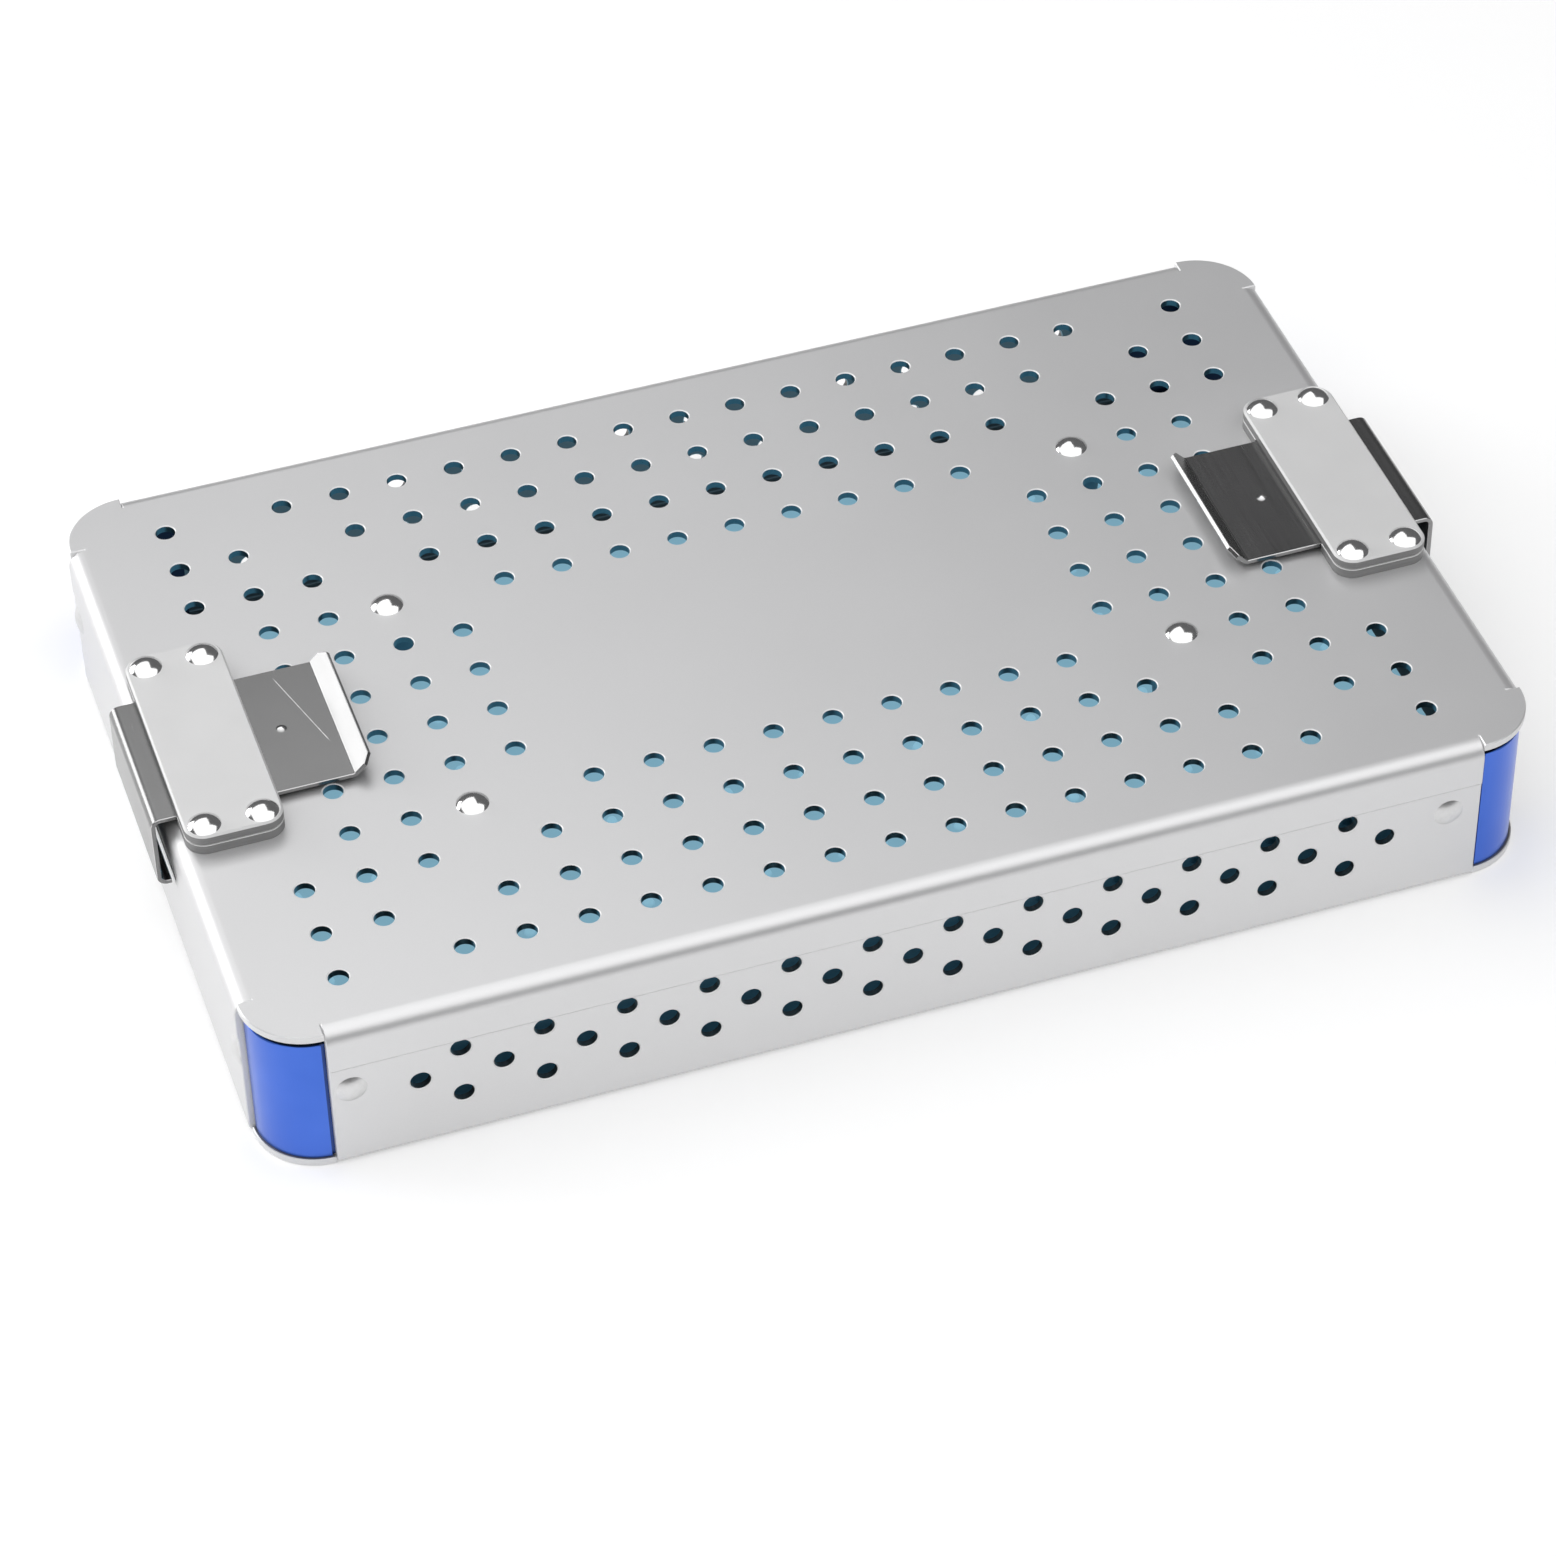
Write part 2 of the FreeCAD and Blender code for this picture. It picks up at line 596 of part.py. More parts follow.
def make_lid_cover():
    """Top panel with four hanging flanges, its field of vents and the holes for its rivets."""
    body = new_body("lid_sheet")
    fold_sheet(body, lid_half_length, lid_half_width, dim.lid_top, dim.lid_skirt, dim.lid_bend,
               dim.corner_radius, -1)
    above = dim.lid_top + dim.sheet_gauge
    depth = dim.sheet_gauge * 3
    punch(body, "pad_rivet_holes", "XY_Plane", above, four_ways(pad_x, pad_y), rivet_hole, depth)
    for side in (-1, 1):
        punch(body, f"latch_rivet_holes_{side + 1}", "XY_Plane", above, latch_rivet_places(side),
              rivet_hole, depth)
    columns = steps_about(Size("0", 0), dim.lid_vent_pitch, round(dim.lid_vent_columns.number))
    rows = steps_about(Size("0", 0), dim.lid_vent_pitch, round(dim.lid_vent_rows.number))
    vents = [(x, y, lid_underside - dim.sheet_gauge)
             for column, x in enumerate(columns) for row, y in enumerate(rows)
             if has_vent(min(column, len(columns) - 1 - column), min(row, len(rows) - 1 - row))]
    return perforate("lid_cover", body, add_punches("lid_vent", vents, dim.lid_vent_bore, depth))


def make_hold_down_pad(x_sign, y_sign, label):
    """Tapered silicone pad under the lid, with a well for the washer that clamps it."""
    body = new_body(label)
    place = [(pad_x * x_sign, pad_y * y_sign)]
    outside = new_sketch(body, f"{label}_outside", "XY_Plane", (0, 0, lid_underside))
    draw_rounds(outside, place, dim.pad_top)
    add_pad(body, outside, dim.pad_height, against=True, narrowing=(dim.pad_top - dim.pad_foot) / 2)
    punch(body, f"{label}_well", "XY_Plane", lid_underside - dim.pad_web, place,
          dim.washer_outside + dim.pad_well_play, dim.pad_height)
    punch(body, f"{label}_rivet_hole", "XY_Plane", lid_underside, place, rivet_hole, dim.pad_height)
    return body


def make_pad_washers():
    """Plain washers in the pads' wells."""
    body = new_body("pad_washers")
    rings = new_sketch(body, "washer_rings", "XY_Plane", (0, 0, lid_underside - dim.pad_web))
    draw_rounds(rings, four_ways(pad_x, pad_y), dim.washer_outside)
    draw_rounds(rings, four_ways(pad_x, pad_y), rivet_hole)
    add_pad(body, rings, dim.washer_gauge, against=True)
    return body


def make_lid_rivets(label, centres, face, grip):
    """Four domed rivets, closed under the grip."""
    body = new_body(label)
    add_rivets(body, "XY_Plane", face, centres, dim.lid_rivet_head, dim.lid_rivet_dome, grip)
    return body


def make_latch_cover(side, label):
    """Plate that bridges the two spacers and keeps the slider down, with a bevelled top edge."""
    body = new_body(label)
    middle = cover_place * side
    outline = new_sketch(body, f"{label}_outline", "XY_Plane", (0, 0, cover_underside))
    draw_rounded_box(outline, middle - dim.cover_length / 2, middle + dim.cover_length / 2,
                     -dim.cover_width / 2, dim.cover_width / 2, dim.cover_corner)
    plate = add_pad(body, outline, dim.cover_gauge)
    top_edges = [f"Edge{index}" for index, edge in enumerate(plate.Shape.Edges, start=1)
                 if edge.BoundBox.ZMin > cover_top.number - 0.001]
    bevel = body.newObject("PartDesign::Chamfer", f"{label}_bevel")
    bevel.Base = (plate, top_edges)
    bevel.setExpression("Size", dim.cover_edge.text)
    body.Tip = bevel
    doc.recompute()
    punch(body, f"{label}_holes", "XY_Plane", cover_top + dim.cover_gauge, latch_rivet_places(side),
          rivet_hole, dim.cover_gauge * 3)
    return body


def make_latch_spacer(side, y_sign, label):
    """Block between the lid and the cover plate, which is one side of the slider's channel."""
    body = new_body(label)
    low = (cover_place - dim.cover_length / 2) * side
    high = (cover_place + dim.cover_length / 2) * side
    inner = (dim.slider_width / 2 + dim.slider_sideplay) * y_sign
    outer = dim.cover_width / 2 * y_sign
    radius = dim.cover_corner
    turn = side * y_sign
    outline = new_sketch(body, f"{label}_outline", "XY_Plane", (0, 0, dim.lid_top))
    draw_outline(outline, (low, inner), [
        (high, inner),
        (high, outer - radius * y_sign),
        (high - radius * side, outer, radius, turn),
        (low + radius * side, outer),
        (low, outer - radius * y_sign, radius, turn),
        (low, inner),
    ])
    add_pad(body, outline, dim.channel_height)
    holes = [(x, y) for x, y in latch_rivet_places(side) if y.number * y_sign > 0]
    punch(body, f"{label}_holes", "XY_Plane", cover_top, holes, rivet_hole,
          dim.channel_height + dim.cover_gauge * 2)
    return body


def make_latch_slider(side, label):
    """Bent strip: finger lip, flat with its stop dimple, tab over the lid's end, and hook for the slot."""
    body = new_body(label)
    slope = math.sqrt(0.5)
    gauge = dim.slider_gauge
    top = slider_top
    end = lid_half_length + dim.slider_overhang
    hook_tip = lid_half_length + dim.hook_gap
    bend = dim.tab_bend
    lip_fold = end - dim.slider_reach
    lip_inner = dim.finger_bend
    lip_outer = lip_inner + gauge
    fold_run = lip_inner * slope
    fold_rise = lip_inner - fold_run
    tip_x = lip_fold - dim.finger_run
    tip_z = top + fold_rise + dim.finger_run - fold_run
    profile = new_sketch(body, f"{label}_profile", "XZ_Plane")

    def placed(*steps):
        mirrored = []
        for step in steps:
            arc = (step[2], step[3] * side) if len(step) > 2 else ()
            mirrored.append((step[0] * side, step[1], *arc))
        return mirrored

    steps = placed(
        (lip_fold - fold_run, top + fold_rise),
        (lip_fold, top, lip_inner, 1),
        (end - bend, top),
        (end, top - bend, bend, -1),
        (end, hook_low + bend),
        (end - bend, hook_low, bend, -1),
        (hook_tip, hook_low),
        (hook_tip, hook_high),
        (end - bend, hook_high),
        (end - gauge, hook_low + bend, bend - gauge, 1),
        (end - gauge, top - bend),
        (end - bend, top - gauge, bend - gauge, 1),
        (lip_fold, top - gauge),
        (lip_fold - lip_outer * slope, top + lip_inner - lip_outer * slope, lip_outer, -1),
        (tip_x - gauge * slope, tip_z - gauge * slope),
        (tip_x, tip_z),
    )
    draw_outline(profile, steps[-1], steps)
    add_pad(body, profile, dim.slider_width, symmetric=True)
    stop_x = cover_place - dim.cover_length / 2 - dim.stop_gap - dim.stop_width / 2
    add_dome(body, f"{label}_stop", "XY_Plane", top, [(stop_x * side, Size("0", 0))], dim.stop_width,
             dim.stop_rise)
    return body


sub_parts = [make_base_tray(), make_silicone_mat(), make_lid_cover(), make_pad_washers()]
corners = [(x_sign, y_sign, f"{end}_{side}") for y_sign, end in ((-1, "front"), (1, "rear"))
           for x_sign, side in ((-1, "left"), (1, "right"))]
for x_sign, y_sign, corner in corners:
    sub_parts.append(make_corner_post(x_sign, y_sign, f"corner_post_{corner}"))
    sub_parts.append(make_hold_down_pad(x_sign, y_sign, f"hold_down_pad_{corner}"))
sub_parts.append(make_wall_rivets("long_wall_rivets", "XZ_Plane", tray_half_width, long_wall_rivet_places))
sub_parts.append(make_wall_rivets("end_wall_rivets", "YZ_Plane", tray_half_length, end_wall_rivet_places))
sub_parts.append(make_lid_rivets("pad_rivets", four_ways(pad_x, pad_y), dim.lid_top,
                                 dim.sheet_gauge + dim.pad_web + dim.washer_gauge))
for side, end in ((-1, "left"), (1, "right")):
    sub_parts.append(make_latch_cover(side, f"{end}_latch_cover"))
    for y_sign, place in ((-1, "front"), (1, "rear")):
        sub_parts.append(make_latch_spacer(side, y_sign, f"{end}_latch_spacer_{place}"))
    sub_parts.append(make_lid_rivets(f"{end}_latch_rivets", latch_rivet_places(side), cover_top,
                                     dim.cover_gauge + dim.channel_height + dim.sheet_gauge))
    sub_parts.append(make_latch_slider(side, f"{end}_latch_slider"))

doc.recompute()
for item in doc.Objects:
    if "Invalid" in item.State or "Error" in item.State:
        raise ValueError(f"{item.Label} did not build: {item.State}")
for sub_part in sub_parts:
    if sub_part.Shape.isNull() or not sub_part.Shape.isValid():
        raise ValueError(f"{sub_part.Label} has no valid shape")
for sub_part in sub_parts:
    sub_part.Shape.exportStep(f"parts/{sub_part.Label}.step")
    box = sub_part.Shape.BoundBox
    print(f"{sub_part.Label}: {len(sub_part.Shape.Solids)} solids, {sub_part.Shape.Volume:.0f} mm3, "
          f"x {box.XMin:.1f} to {box.XMax:.1f}, y {box.YMin:.1f} to {box.YMax:.1f}, "
          f"z {box.ZMin:.1f} to {box.ZMax:.1f}")
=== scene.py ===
import math

import bpy
import numpy as np
from mathutils import Matrix, Vector
from mathutils.geometry import delaunay_2d_cdt


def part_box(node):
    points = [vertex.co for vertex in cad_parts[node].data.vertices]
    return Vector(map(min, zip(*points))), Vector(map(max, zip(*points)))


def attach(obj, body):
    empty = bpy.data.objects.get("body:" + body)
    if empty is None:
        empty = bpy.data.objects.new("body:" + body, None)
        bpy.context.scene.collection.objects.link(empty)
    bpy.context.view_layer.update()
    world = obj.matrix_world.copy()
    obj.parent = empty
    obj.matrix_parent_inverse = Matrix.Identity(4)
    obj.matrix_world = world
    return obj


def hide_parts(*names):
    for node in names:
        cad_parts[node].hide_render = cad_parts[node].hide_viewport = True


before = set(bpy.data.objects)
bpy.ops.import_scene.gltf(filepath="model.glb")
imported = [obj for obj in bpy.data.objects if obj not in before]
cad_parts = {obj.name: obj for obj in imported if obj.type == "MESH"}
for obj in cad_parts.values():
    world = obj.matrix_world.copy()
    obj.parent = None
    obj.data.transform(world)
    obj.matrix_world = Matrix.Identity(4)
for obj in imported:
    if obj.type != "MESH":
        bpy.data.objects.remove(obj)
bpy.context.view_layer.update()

# Camera.
# It looks down at the container from its front-left corner, along the photograph's viewing angle. Its bearing
# is measured from +Y towards +X, its dip below the horizon, and its roll about the line of sight.
camera_place = Vector((-0.2966, -0.9133, 0.8963))
bearing = math.radians(17.877)
dip = math.radians(43.367)
roll = math.radians(-1.177)
ahead = Vector((math.sin(bearing) * math.cos(dip), math.cos(bearing) * math.cos(dip), -math.sin(dip)))
level = Vector((math.cos(bearing), -math.sin(bearing), 0))
above = level.cross(ahead)
to_right = level * math.cos(roll) + above * math.sin(roll)
to_top = to_right.cross(ahead)

# The focal length and the frame's width are in one small unit.
focal_length = 5244.5
frame_width = 1556
camera_data = bpy.data.cameras.new("camera")
camera_data.sensor_width = 36
camera_data.lens = camera_data.sensor_width * focal_length / frame_width
camera = bpy.data.objects.new("camera", camera_data)
facing = Matrix((to_right, to_top, -ahead)).transposed()
camera.matrix_world = Matrix.Translation(camera_place) @ facing.to_4x4()
bpy.context.scene.collection.objects.link(camera)
bpy.context.scene.camera = camera
bpy.context.scene.view_settings.view_transform = "Standard"


# Floor and light.
# A white table under two soft boxes that hang level above it, with a smaller lamp low at the left. The table
# shows white to the camera and in reflections, and keeps the container's shadow.
class Value:
    """A value inside a material. Arithmetic on it adds Math nodes to the material."""

    def __init__(self, finish, socket):
        self.finish = finish
        self.socket = socket

    def worked(self, operation, *values):
        return self.finish.node("ShaderNodeMath", {"operation": operation}, dict(enumerate(values)))

    def __add__(self, other):
        return self.worked("ADD", self, other)

    __radd__ = __add__

    def __sub__(self, other):
        return self.worked("SUBTRACT", self, other)

    def __rsub__(self, other):
        return self.worked("SUBTRACT", other, self)

    def __mul__(self, other):
        return self.worked("MULTIPLY", self, other)

    __rmul__ = __mul__

    def power(self, exponent):
        return self.worked("POWER", self, exponent)

    def clamped(self):
        return self.finish.node("ShaderNodeClamp", {}, {"Value": self})


class Finish:
    """A material in the making: its one shader, and the nodes that vary it over the surface."""

    def __init__(self, name, **plain):
        self.material = bpy.data.materials.new(name)
        self.material.use_nodes = True
        self.tree = self.material.node_tree
        self.tree.nodes.clear()
        self.shader = self.tree.nodes.new("ShaderNodeBsdfPrincipled")
        output = self.tree.nodes.new("ShaderNodeOutputMaterial")
        self.tree.links.new(self.shader.outputs[0], output.inputs["Surface"])
        for socket, value in plain.items():
            self.shader.inputs[socket.replace("_", " ")].default_value = value

    def node(self, kind, settings, inputs, output=0):
        """A node of any kind: its settings are set first, then the values or links of its sockets."""
        made = self.tree.nodes.new(kind)
        for name, value in settings.items():
            setattr(made, name, value)
        for name, value in inputs.items():
            self.feed(made.inputs[name], value)
        return Value(self, made.outputs[output])

    def feed(self, socket, value):
        if isinstance(value, Value):
            self.tree.links.new(value.socket, socket)
        else:
            socket.default_value = value

    def vary(self, socket, value):
        """A socket of the shader that changes over the surface."""
        self.feed(self.shader.inputs[socket], value)

    def where(self, stretch=(1, 1, 1)):
        """Object coordinates in metres, stretched."""
        place = self.node("ShaderNodeTexCoord", {}, {}, "Object")
        return self.node("ShaderNodeMapping", {}, {"Vector": place, "Scale": stretch})

    def along(self, axis):
        """One of the object coordinates, in metres."""
        return self.node("ShaderNodeSeparateXYZ", {}, {"Vector": self.where()}, axis)

    def noise(self, place, scale, detail=2.0, roughness=0.5):
        """Soft noise from 0 to 1, with that many waves a metre."""
        return self.node("ShaderNodeTexNoise", {}, {"Vector": place, "Scale": scale, "Detail": detail,
                                                     "Roughness": roughness})

    def blend(self, share, first, second):
        """A colour between two, by share."""
        return self.node("ShaderNodeMix", {"data_type": "RGBA"}, {0: share, 6: first, 7: second}, 2)

    def between(self, value, low, high):
        """The value's 0 to 1 carried over to low to high."""
        return self.node("ShaderNodeMapRange", {}, {"Value": value, "To Min": low, "To Max": high})

    def relief(self, height, depth, strength=1.0):
        """Small relief of that depth in metres, by the height field."""
        bump = self.node("ShaderNodeBump", {}, {"Strength": strength, "Distance": depth, "Height": height})
        self.vary("Normal", bump)


def grey(level, blue=0.0):
    """A grey, with a little more blue."""
    return (level, level, level + blue, 1)


table_reach = 4.0
table_corners = [(x * table_reach, y * table_reach, 0) for x, y in ((-1, -1), (1, -1), (1, 1), (-1, 1))]
table_glow = 0.24
table_mesh = bpy.data.meshes.new("table")
table_mesh.from_pydata(table_corners, [], [(0, 1, 2, 3)])
table = bpy.data.objects.new("table", table_mesh)
bpy.context.scene.collection.objects.link(table)
white_table = Finish("white_table", Base_Color=grey(0.84), Roughness=0.9, Specular_IOR_Level=0.1,
                     Emission_Strength=1.0)
seen = [white_table.node("ShaderNodeLightPath", {}, {}, name)
        for name in ("Is Camera Ray", "Is Glossy Ray", "Is Transmission Ray")]
white_table.vary("Emission Color",
                 white_table.blend((seen[0] + seen[1] + seen[2]).clamped(), grey(0.0), grey(table_glow)))
table_mesh.materials.append(white_table.material)

room = bpy.data.worlds.new("room")
room.use_nodes = True
room_light = room.node_tree.nodes["Background"].inputs
room_light["Color"].default_value = grey(0.90, 0.02)
room_light["Strength"].default_value = 0.15
bpy.context.scene.world = room

ceiling_height = 1.5
ceiling_radiance = 1.32
window_place = (-1.3, 1.05, 0.5)
window_radiance = 4.6
container_middle = (0, 0, 0.02)


def hang_lamp(name, place, aim, size, radiance):
    """A soft box that shines at its own plain radiance: watts = pi * area * radiance."""
    data = bpy.data.lights.new(name, "AREA")
    data.shape = "RECTANGLE"
    data.size, data.size_y = size
    data.energy = math.pi * size[0] * size[1] * radiance
    lamp = bpy.data.objects.new(name, data)
    lamp.location = place
    lamp.rotation_euler = (Vector(place) - Vector(aim)).to_track_quat("Z", "Y").to_euler()
    bpy.context.scene.collection.objects.link(lamp)


ceilings = (("soft_ceiling", -0.8, -0.12, (2.6, 3.56)), ("front_ceiling", 1.25, -1.0, (1.5, 2.1)))
for name, x, y, size in ceilings:
    hang_lamp(name, (x, y, ceiling_height), (x, y, 0), size, ceiling_radiance)
hang_lamp("left_window", window_place, container_middle, (1.0, 0.7), window_radiance)


# Base tray.
# One aluminium sheet, cut to its flat pattern with its vents, drain holes and slots, deburred and folded up
# on four sides. Its rounded corners are left flat, and the corner posts close them.
millimetre = 0.001
sheet_gauge = 2 * millimetre
burr = 0.25 * millimetre
inner_burr = 0.05 * millimetre
parting_slot = 0.1 * millimetre
fold_steps = 8
corner_steps = 20


def arc(centre, radius, first, last, steps):
    """Points on a circle: centre + radius * (cos a, sin a), for a from first to last in degrees."""
    angle = np.radians(np.linspace(first, last, steps + 1))
    return np.column_stack([centre[0] + radius * np.cos(angle), centre[1] + radius * np.sin(angle)])


def hole(u, v, radius, steps=32):
    """The rim of a round hole, clockwise, so that the sheet lies on its left."""
    return arc((u, v), radius, 360, 360 / steps, steps - 1)


def rounded_box(low, high, radius, steps=10):
    """The outline of a box with rounded corners, counterclockwise from its lower right one."""
    centres = [(high[0] - radius, low[1] + radius), (high[0] - radius, high[1] - radius),
               (low[0] + radius, high[1] - radius), (low[0] + radius, low[1] + radius)]
    return np.concatenate([arc(centre, radius, 90 * i - 90, 90 * i, steps)
                           for i, centre in enumerate(centres)])


def moved_left(loop, distance):
    """Each point of a loop moved left of the way round: distance * (n1 + n2) / (1 + n1.n2)."""
    edge = np.roll(loop, -1, 0) - loop
    edge /= np.linalg.norm(edge, axis=1)[:, None]
    after = np.column_stack([-edge[:, 1], edge[:, 0]])
    before = np.roll(after, 1, 0)
    return loop + distance * (before + after) / (1 + (before * after).sum(1))[:, None]


def ways_out(loop):
    """The way out of the sheet at both ends of each edge of a loop.

    It is the edge's own normal n, or n + its neighbour's where the two turn by under 30 degrees.
    """
    edge = np.roll(loop, -1, 0) - loop
    out = np.column_stack([edge[:, 1], -edge[:, 0]]) / np.linalg.norm(edge, axis=1)[:, None]
    ends = []
    for neighbour in (np.roll(out, 1, 0), np.roll(out, -1, 0)):
        soft = (out * neighbour).sum(1) > math.cos(math.radians(30))
        mean = np.where(soft[:, None], out + neighbour, out)
        ends.append(mean / np.linalg.norm(mean, axis=1)[:, None])
    return ends


def inside(points, loop):
    """Whether each point lies in the loop: a ray to the right crosses it an odd number of times."""
    a, b = loop, np.roll(loop, -1, 0)
    x, y = points[:, :1], points[:, 1:]
    spans = (a[:, 1] > y) != (b[:, 1] > y)
    with np.errstate(divide="ignore", invalid="ignore"):
        crossing = a[:, 0] + (y - a[:, 1]) * (b[:, 0] - a[:, 0]) / (b[:, 1] - a[:, 1])
    return (spans & (x < crossing)).sum(1) % 2 == 1


def meshed(loops, rulings):
    """Delaunay triangles between a sheet's outline and its holes, with the rulings among their edges.

    It is worked out in millimetres, and points closer than merged_within become one.
    """
    merged_within = 1e-4
    points = []
    edges = []
    for loop in loops:
        start = len(points)
        points.extend(loop / millimetre)
        edges.extend((start + i, start + (i + 1) % len(loop)) for i in range(len(loop)))
    rims = len(points)
    for line in rulings:
        start = len(points)
        points.extend(np.asarray(line) / millimetre)
        edges.extend((start + i, start + i + 1) for i in range(len(line) - 1))
    flat, _, faces, origins, _, _ = delaunay_2d_cdt([Vector(p) for p in points], edges, [], 0, merged_within)
    rim = np.zeros(rims, int)
    for index, sources in enumerate(origins):
        for source in sources:
            if source < rims:
                rim[source] = index
    flat = np.array([tuple(p) for p in flat]) * millimetre
    faces = np.array([tuple(f) for f in faces])
    middle = flat[faces].mean(1)
    kept = inside(middle, loops[0])
    for loop in loops[1:]:
        near = np.flatnonzero((abs(middle - loop.mean(0)) < np.ptp(loop, 0)).all(1))
        kept[near] &= ~inside(middle[near], loop)
    return flat, faces[kept], rim


def laid(place, flat, depth):
    """Points of the bent sheet with its two directions and its normal, by differences over a micrometre."""
    step = 1e-6
    u, v = flat.T
    along = place(u + step, v, depth) - place(u - step, v, depth)
    across = place(u, v + step, depth) - place(u, v - step, depth)
    along /= np.linalg.norm(along, axis=1)[:, None]
    across /= np.linalg.norm(across, axis=1)[:, None]
    return place(u, v, depth), along, across, np.cross(along, across)


def new_piece(name, points, faces, normals=None, finishes=None):
    """A mesh object, with each face corner's normal and each face's slot where they are given."""
    mesh = bpy.data.meshes.new(name)
    mesh.from_pydata([tuple(p) for p in points], [], faces)
    mesh.polygons.foreach_set("use_smooth", [True] * len(faces))
    if finishes is not None:
        mesh.polygons.foreach_set("material_index", finishes)
    if normals is not None:
        mesh.normals_split_custom_set([tuple(n) for n in normals])
    piece = bpy.data.objects.new(name, mesh)
    bpy.context.scene.collection.objects.link(piece)
    return piece


def bent_plate(name, outline, holes, gauge, bevel, place, rulings=(), slots=(), bright=(0, 0, 0, 0),
               back=0, under=None):
    """A plate cut to an outline with round holes and slots, its rims bevelled on both faces, then bent.

    place(u, v, depth) gives the bent position of the flat point (u, v) at that depth under the outer face.
    The outer face is at depth 0 and the inner one at the gauge, both inset by the bevel. Between them the
    full outline runs from depth bevel to gauge - bevel, or to gauge - under where the inner bevel is lower
    than it is wide. bright gives the finishes of the outline's bevels and cut side and of the holes' bevels
    and cut sides, and back the inner face's.
    """
    loops = [outline] + [hole(*each) for each in holes] + [slot[::-1] for slot in slots]
    rims = [moved_left(loop, bevel) for loop in loops]
    flat, triangles, rim = meshed(rims, rulings)
    edge_points = np.concatenate(loops)
    outs = [np.concatenate(side) for side in zip(*(ways_out(loop) for loop in loops))]
    here = np.arange(len(edge_points))
    there = np.concatenate([np.roll(np.arange(len(loop)), -1) for loop in loops])
    there += np.repeat(np.cumsum([0] + [len(loop) for loop in loops[:-1]]), [len(loop) for loop in loops])

    outer, outer_u, outer_v, outer_n = laid(place, flat, 0.0)
    inner, _, _, inner_n = laid(place, flat, gauge)
    upper, upper_u, upper_v, upper_n = laid(place, edge_points, bevel)
    lower, lower_u, lower_v, lower_n = laid(place, edge_points, gauge - (bevel if under is None else under))
    a, b = 0, len(flat)
    c, d = 2 * len(flat), 2 * len(flat) + len(edge_points)

    def spread(out, index, u, v):
        return out[:, :1] * u[index] + out[:, 1:] * v[index]

    starts = spread(outs[0], here, upper_u, upper_v), spread(outs[0], here, lower_u, lower_v)
    ends = spread(outs[1], there, upper_u, upper_v), spread(outs[1], there, lower_u, lower_v)
    bands = [
        (np.column_stack([a + rim[here], c + here, c + there, a + rim[there]]),
         [starts[0] + upper_n[here]] * 2 + [ends[0] + upper_n[there]] * 2),
        (np.column_stack([c + here, d + here, d + there, c + there]),
         [starts[0], starts[1], ends[1], ends[0]]),
        (np.column_stack([d + here, b + rim[here], b + rim[there], d + there]),
         [starts[1] - lower_n[here]] * 2 + [ends[1] - lower_n[there]] * 2),
    ]
    faces = triangles.tolist() + (b + triangles[:, ::-1]).tolist()
    finishes = [0] * len(triangles) + [back] * len(triangles)
    normals = [outer_n[triangles.ravel()], -inner_n[triangles[:, ::-1].ravel()]]
    within = len(edge_points) - len(outline)
    eased, cut = ([bright[i]] * len(outline) + [bright[i + 2]] * within for i in (0, 1))
    for (quads, corners), finish in zip(bands, (eased, cut, eased)):
        faces += quads.tolist()
        finishes += finish
        stacked = np.stack(corners, axis=1).reshape(-1, 3)
        normals.append(stacked / np.linalg.norm(stacked, axis=1)[:, None])
    points = np.concatenate([outer, inner, upper, lower])
    return new_piece(name, points, faces, np.concatenate(normals), finishes)


def run(distance, depth, legs, start=(0.0, 0.0), heading=0.0):
    """Where a strip's side view leads after a distance, at a depth to the right of its upper face.

    Each leg has a length and the angle in radians that it turns left by. A straight leg goes along its
    heading; a turning leg of radius r = length / turn goes r * (sin(h + s) - sin h, cos h - cos(h + s)).
    """
    x, z = start
    begin = 0.0
    along = np.zeros_like(distance)
    up = np.zeros_like(distance)
    for index, (length, turn) in enumerate(legs):
        local = distance - begin
        here = (local >= 0 if index else local > -1) & ((local < length) | (index == len(legs) - 1))
        swing = turn * local / length
        if turn:
            radius = length / turn
            leg_x = radius * (np.sin(heading + swing) - math.sin(heading))
            leg_z = radius * (math.cos(heading) - np.cos(heading + swing))
            end_x = radius * (math.sin(heading + turn) - math.sin(heading))
            end_z = radius * (math.cos(heading) - math.cos(heading + turn))
        else:
            leg_x = local * math.cos(heading)
            leg_z = local * math.sin(heading)
            end_x = length * math.cos(heading)
            end_z = length * math.sin(heading)
        along = np.where(here, x + leg_x + depth * np.sin(heading + swing), along)
        up = np.where(here, z + leg_z - depth * np.cos(heading + swing), up)
        x += end_x
        z += end_z
        begin += length
        heading += turn
    return along, up


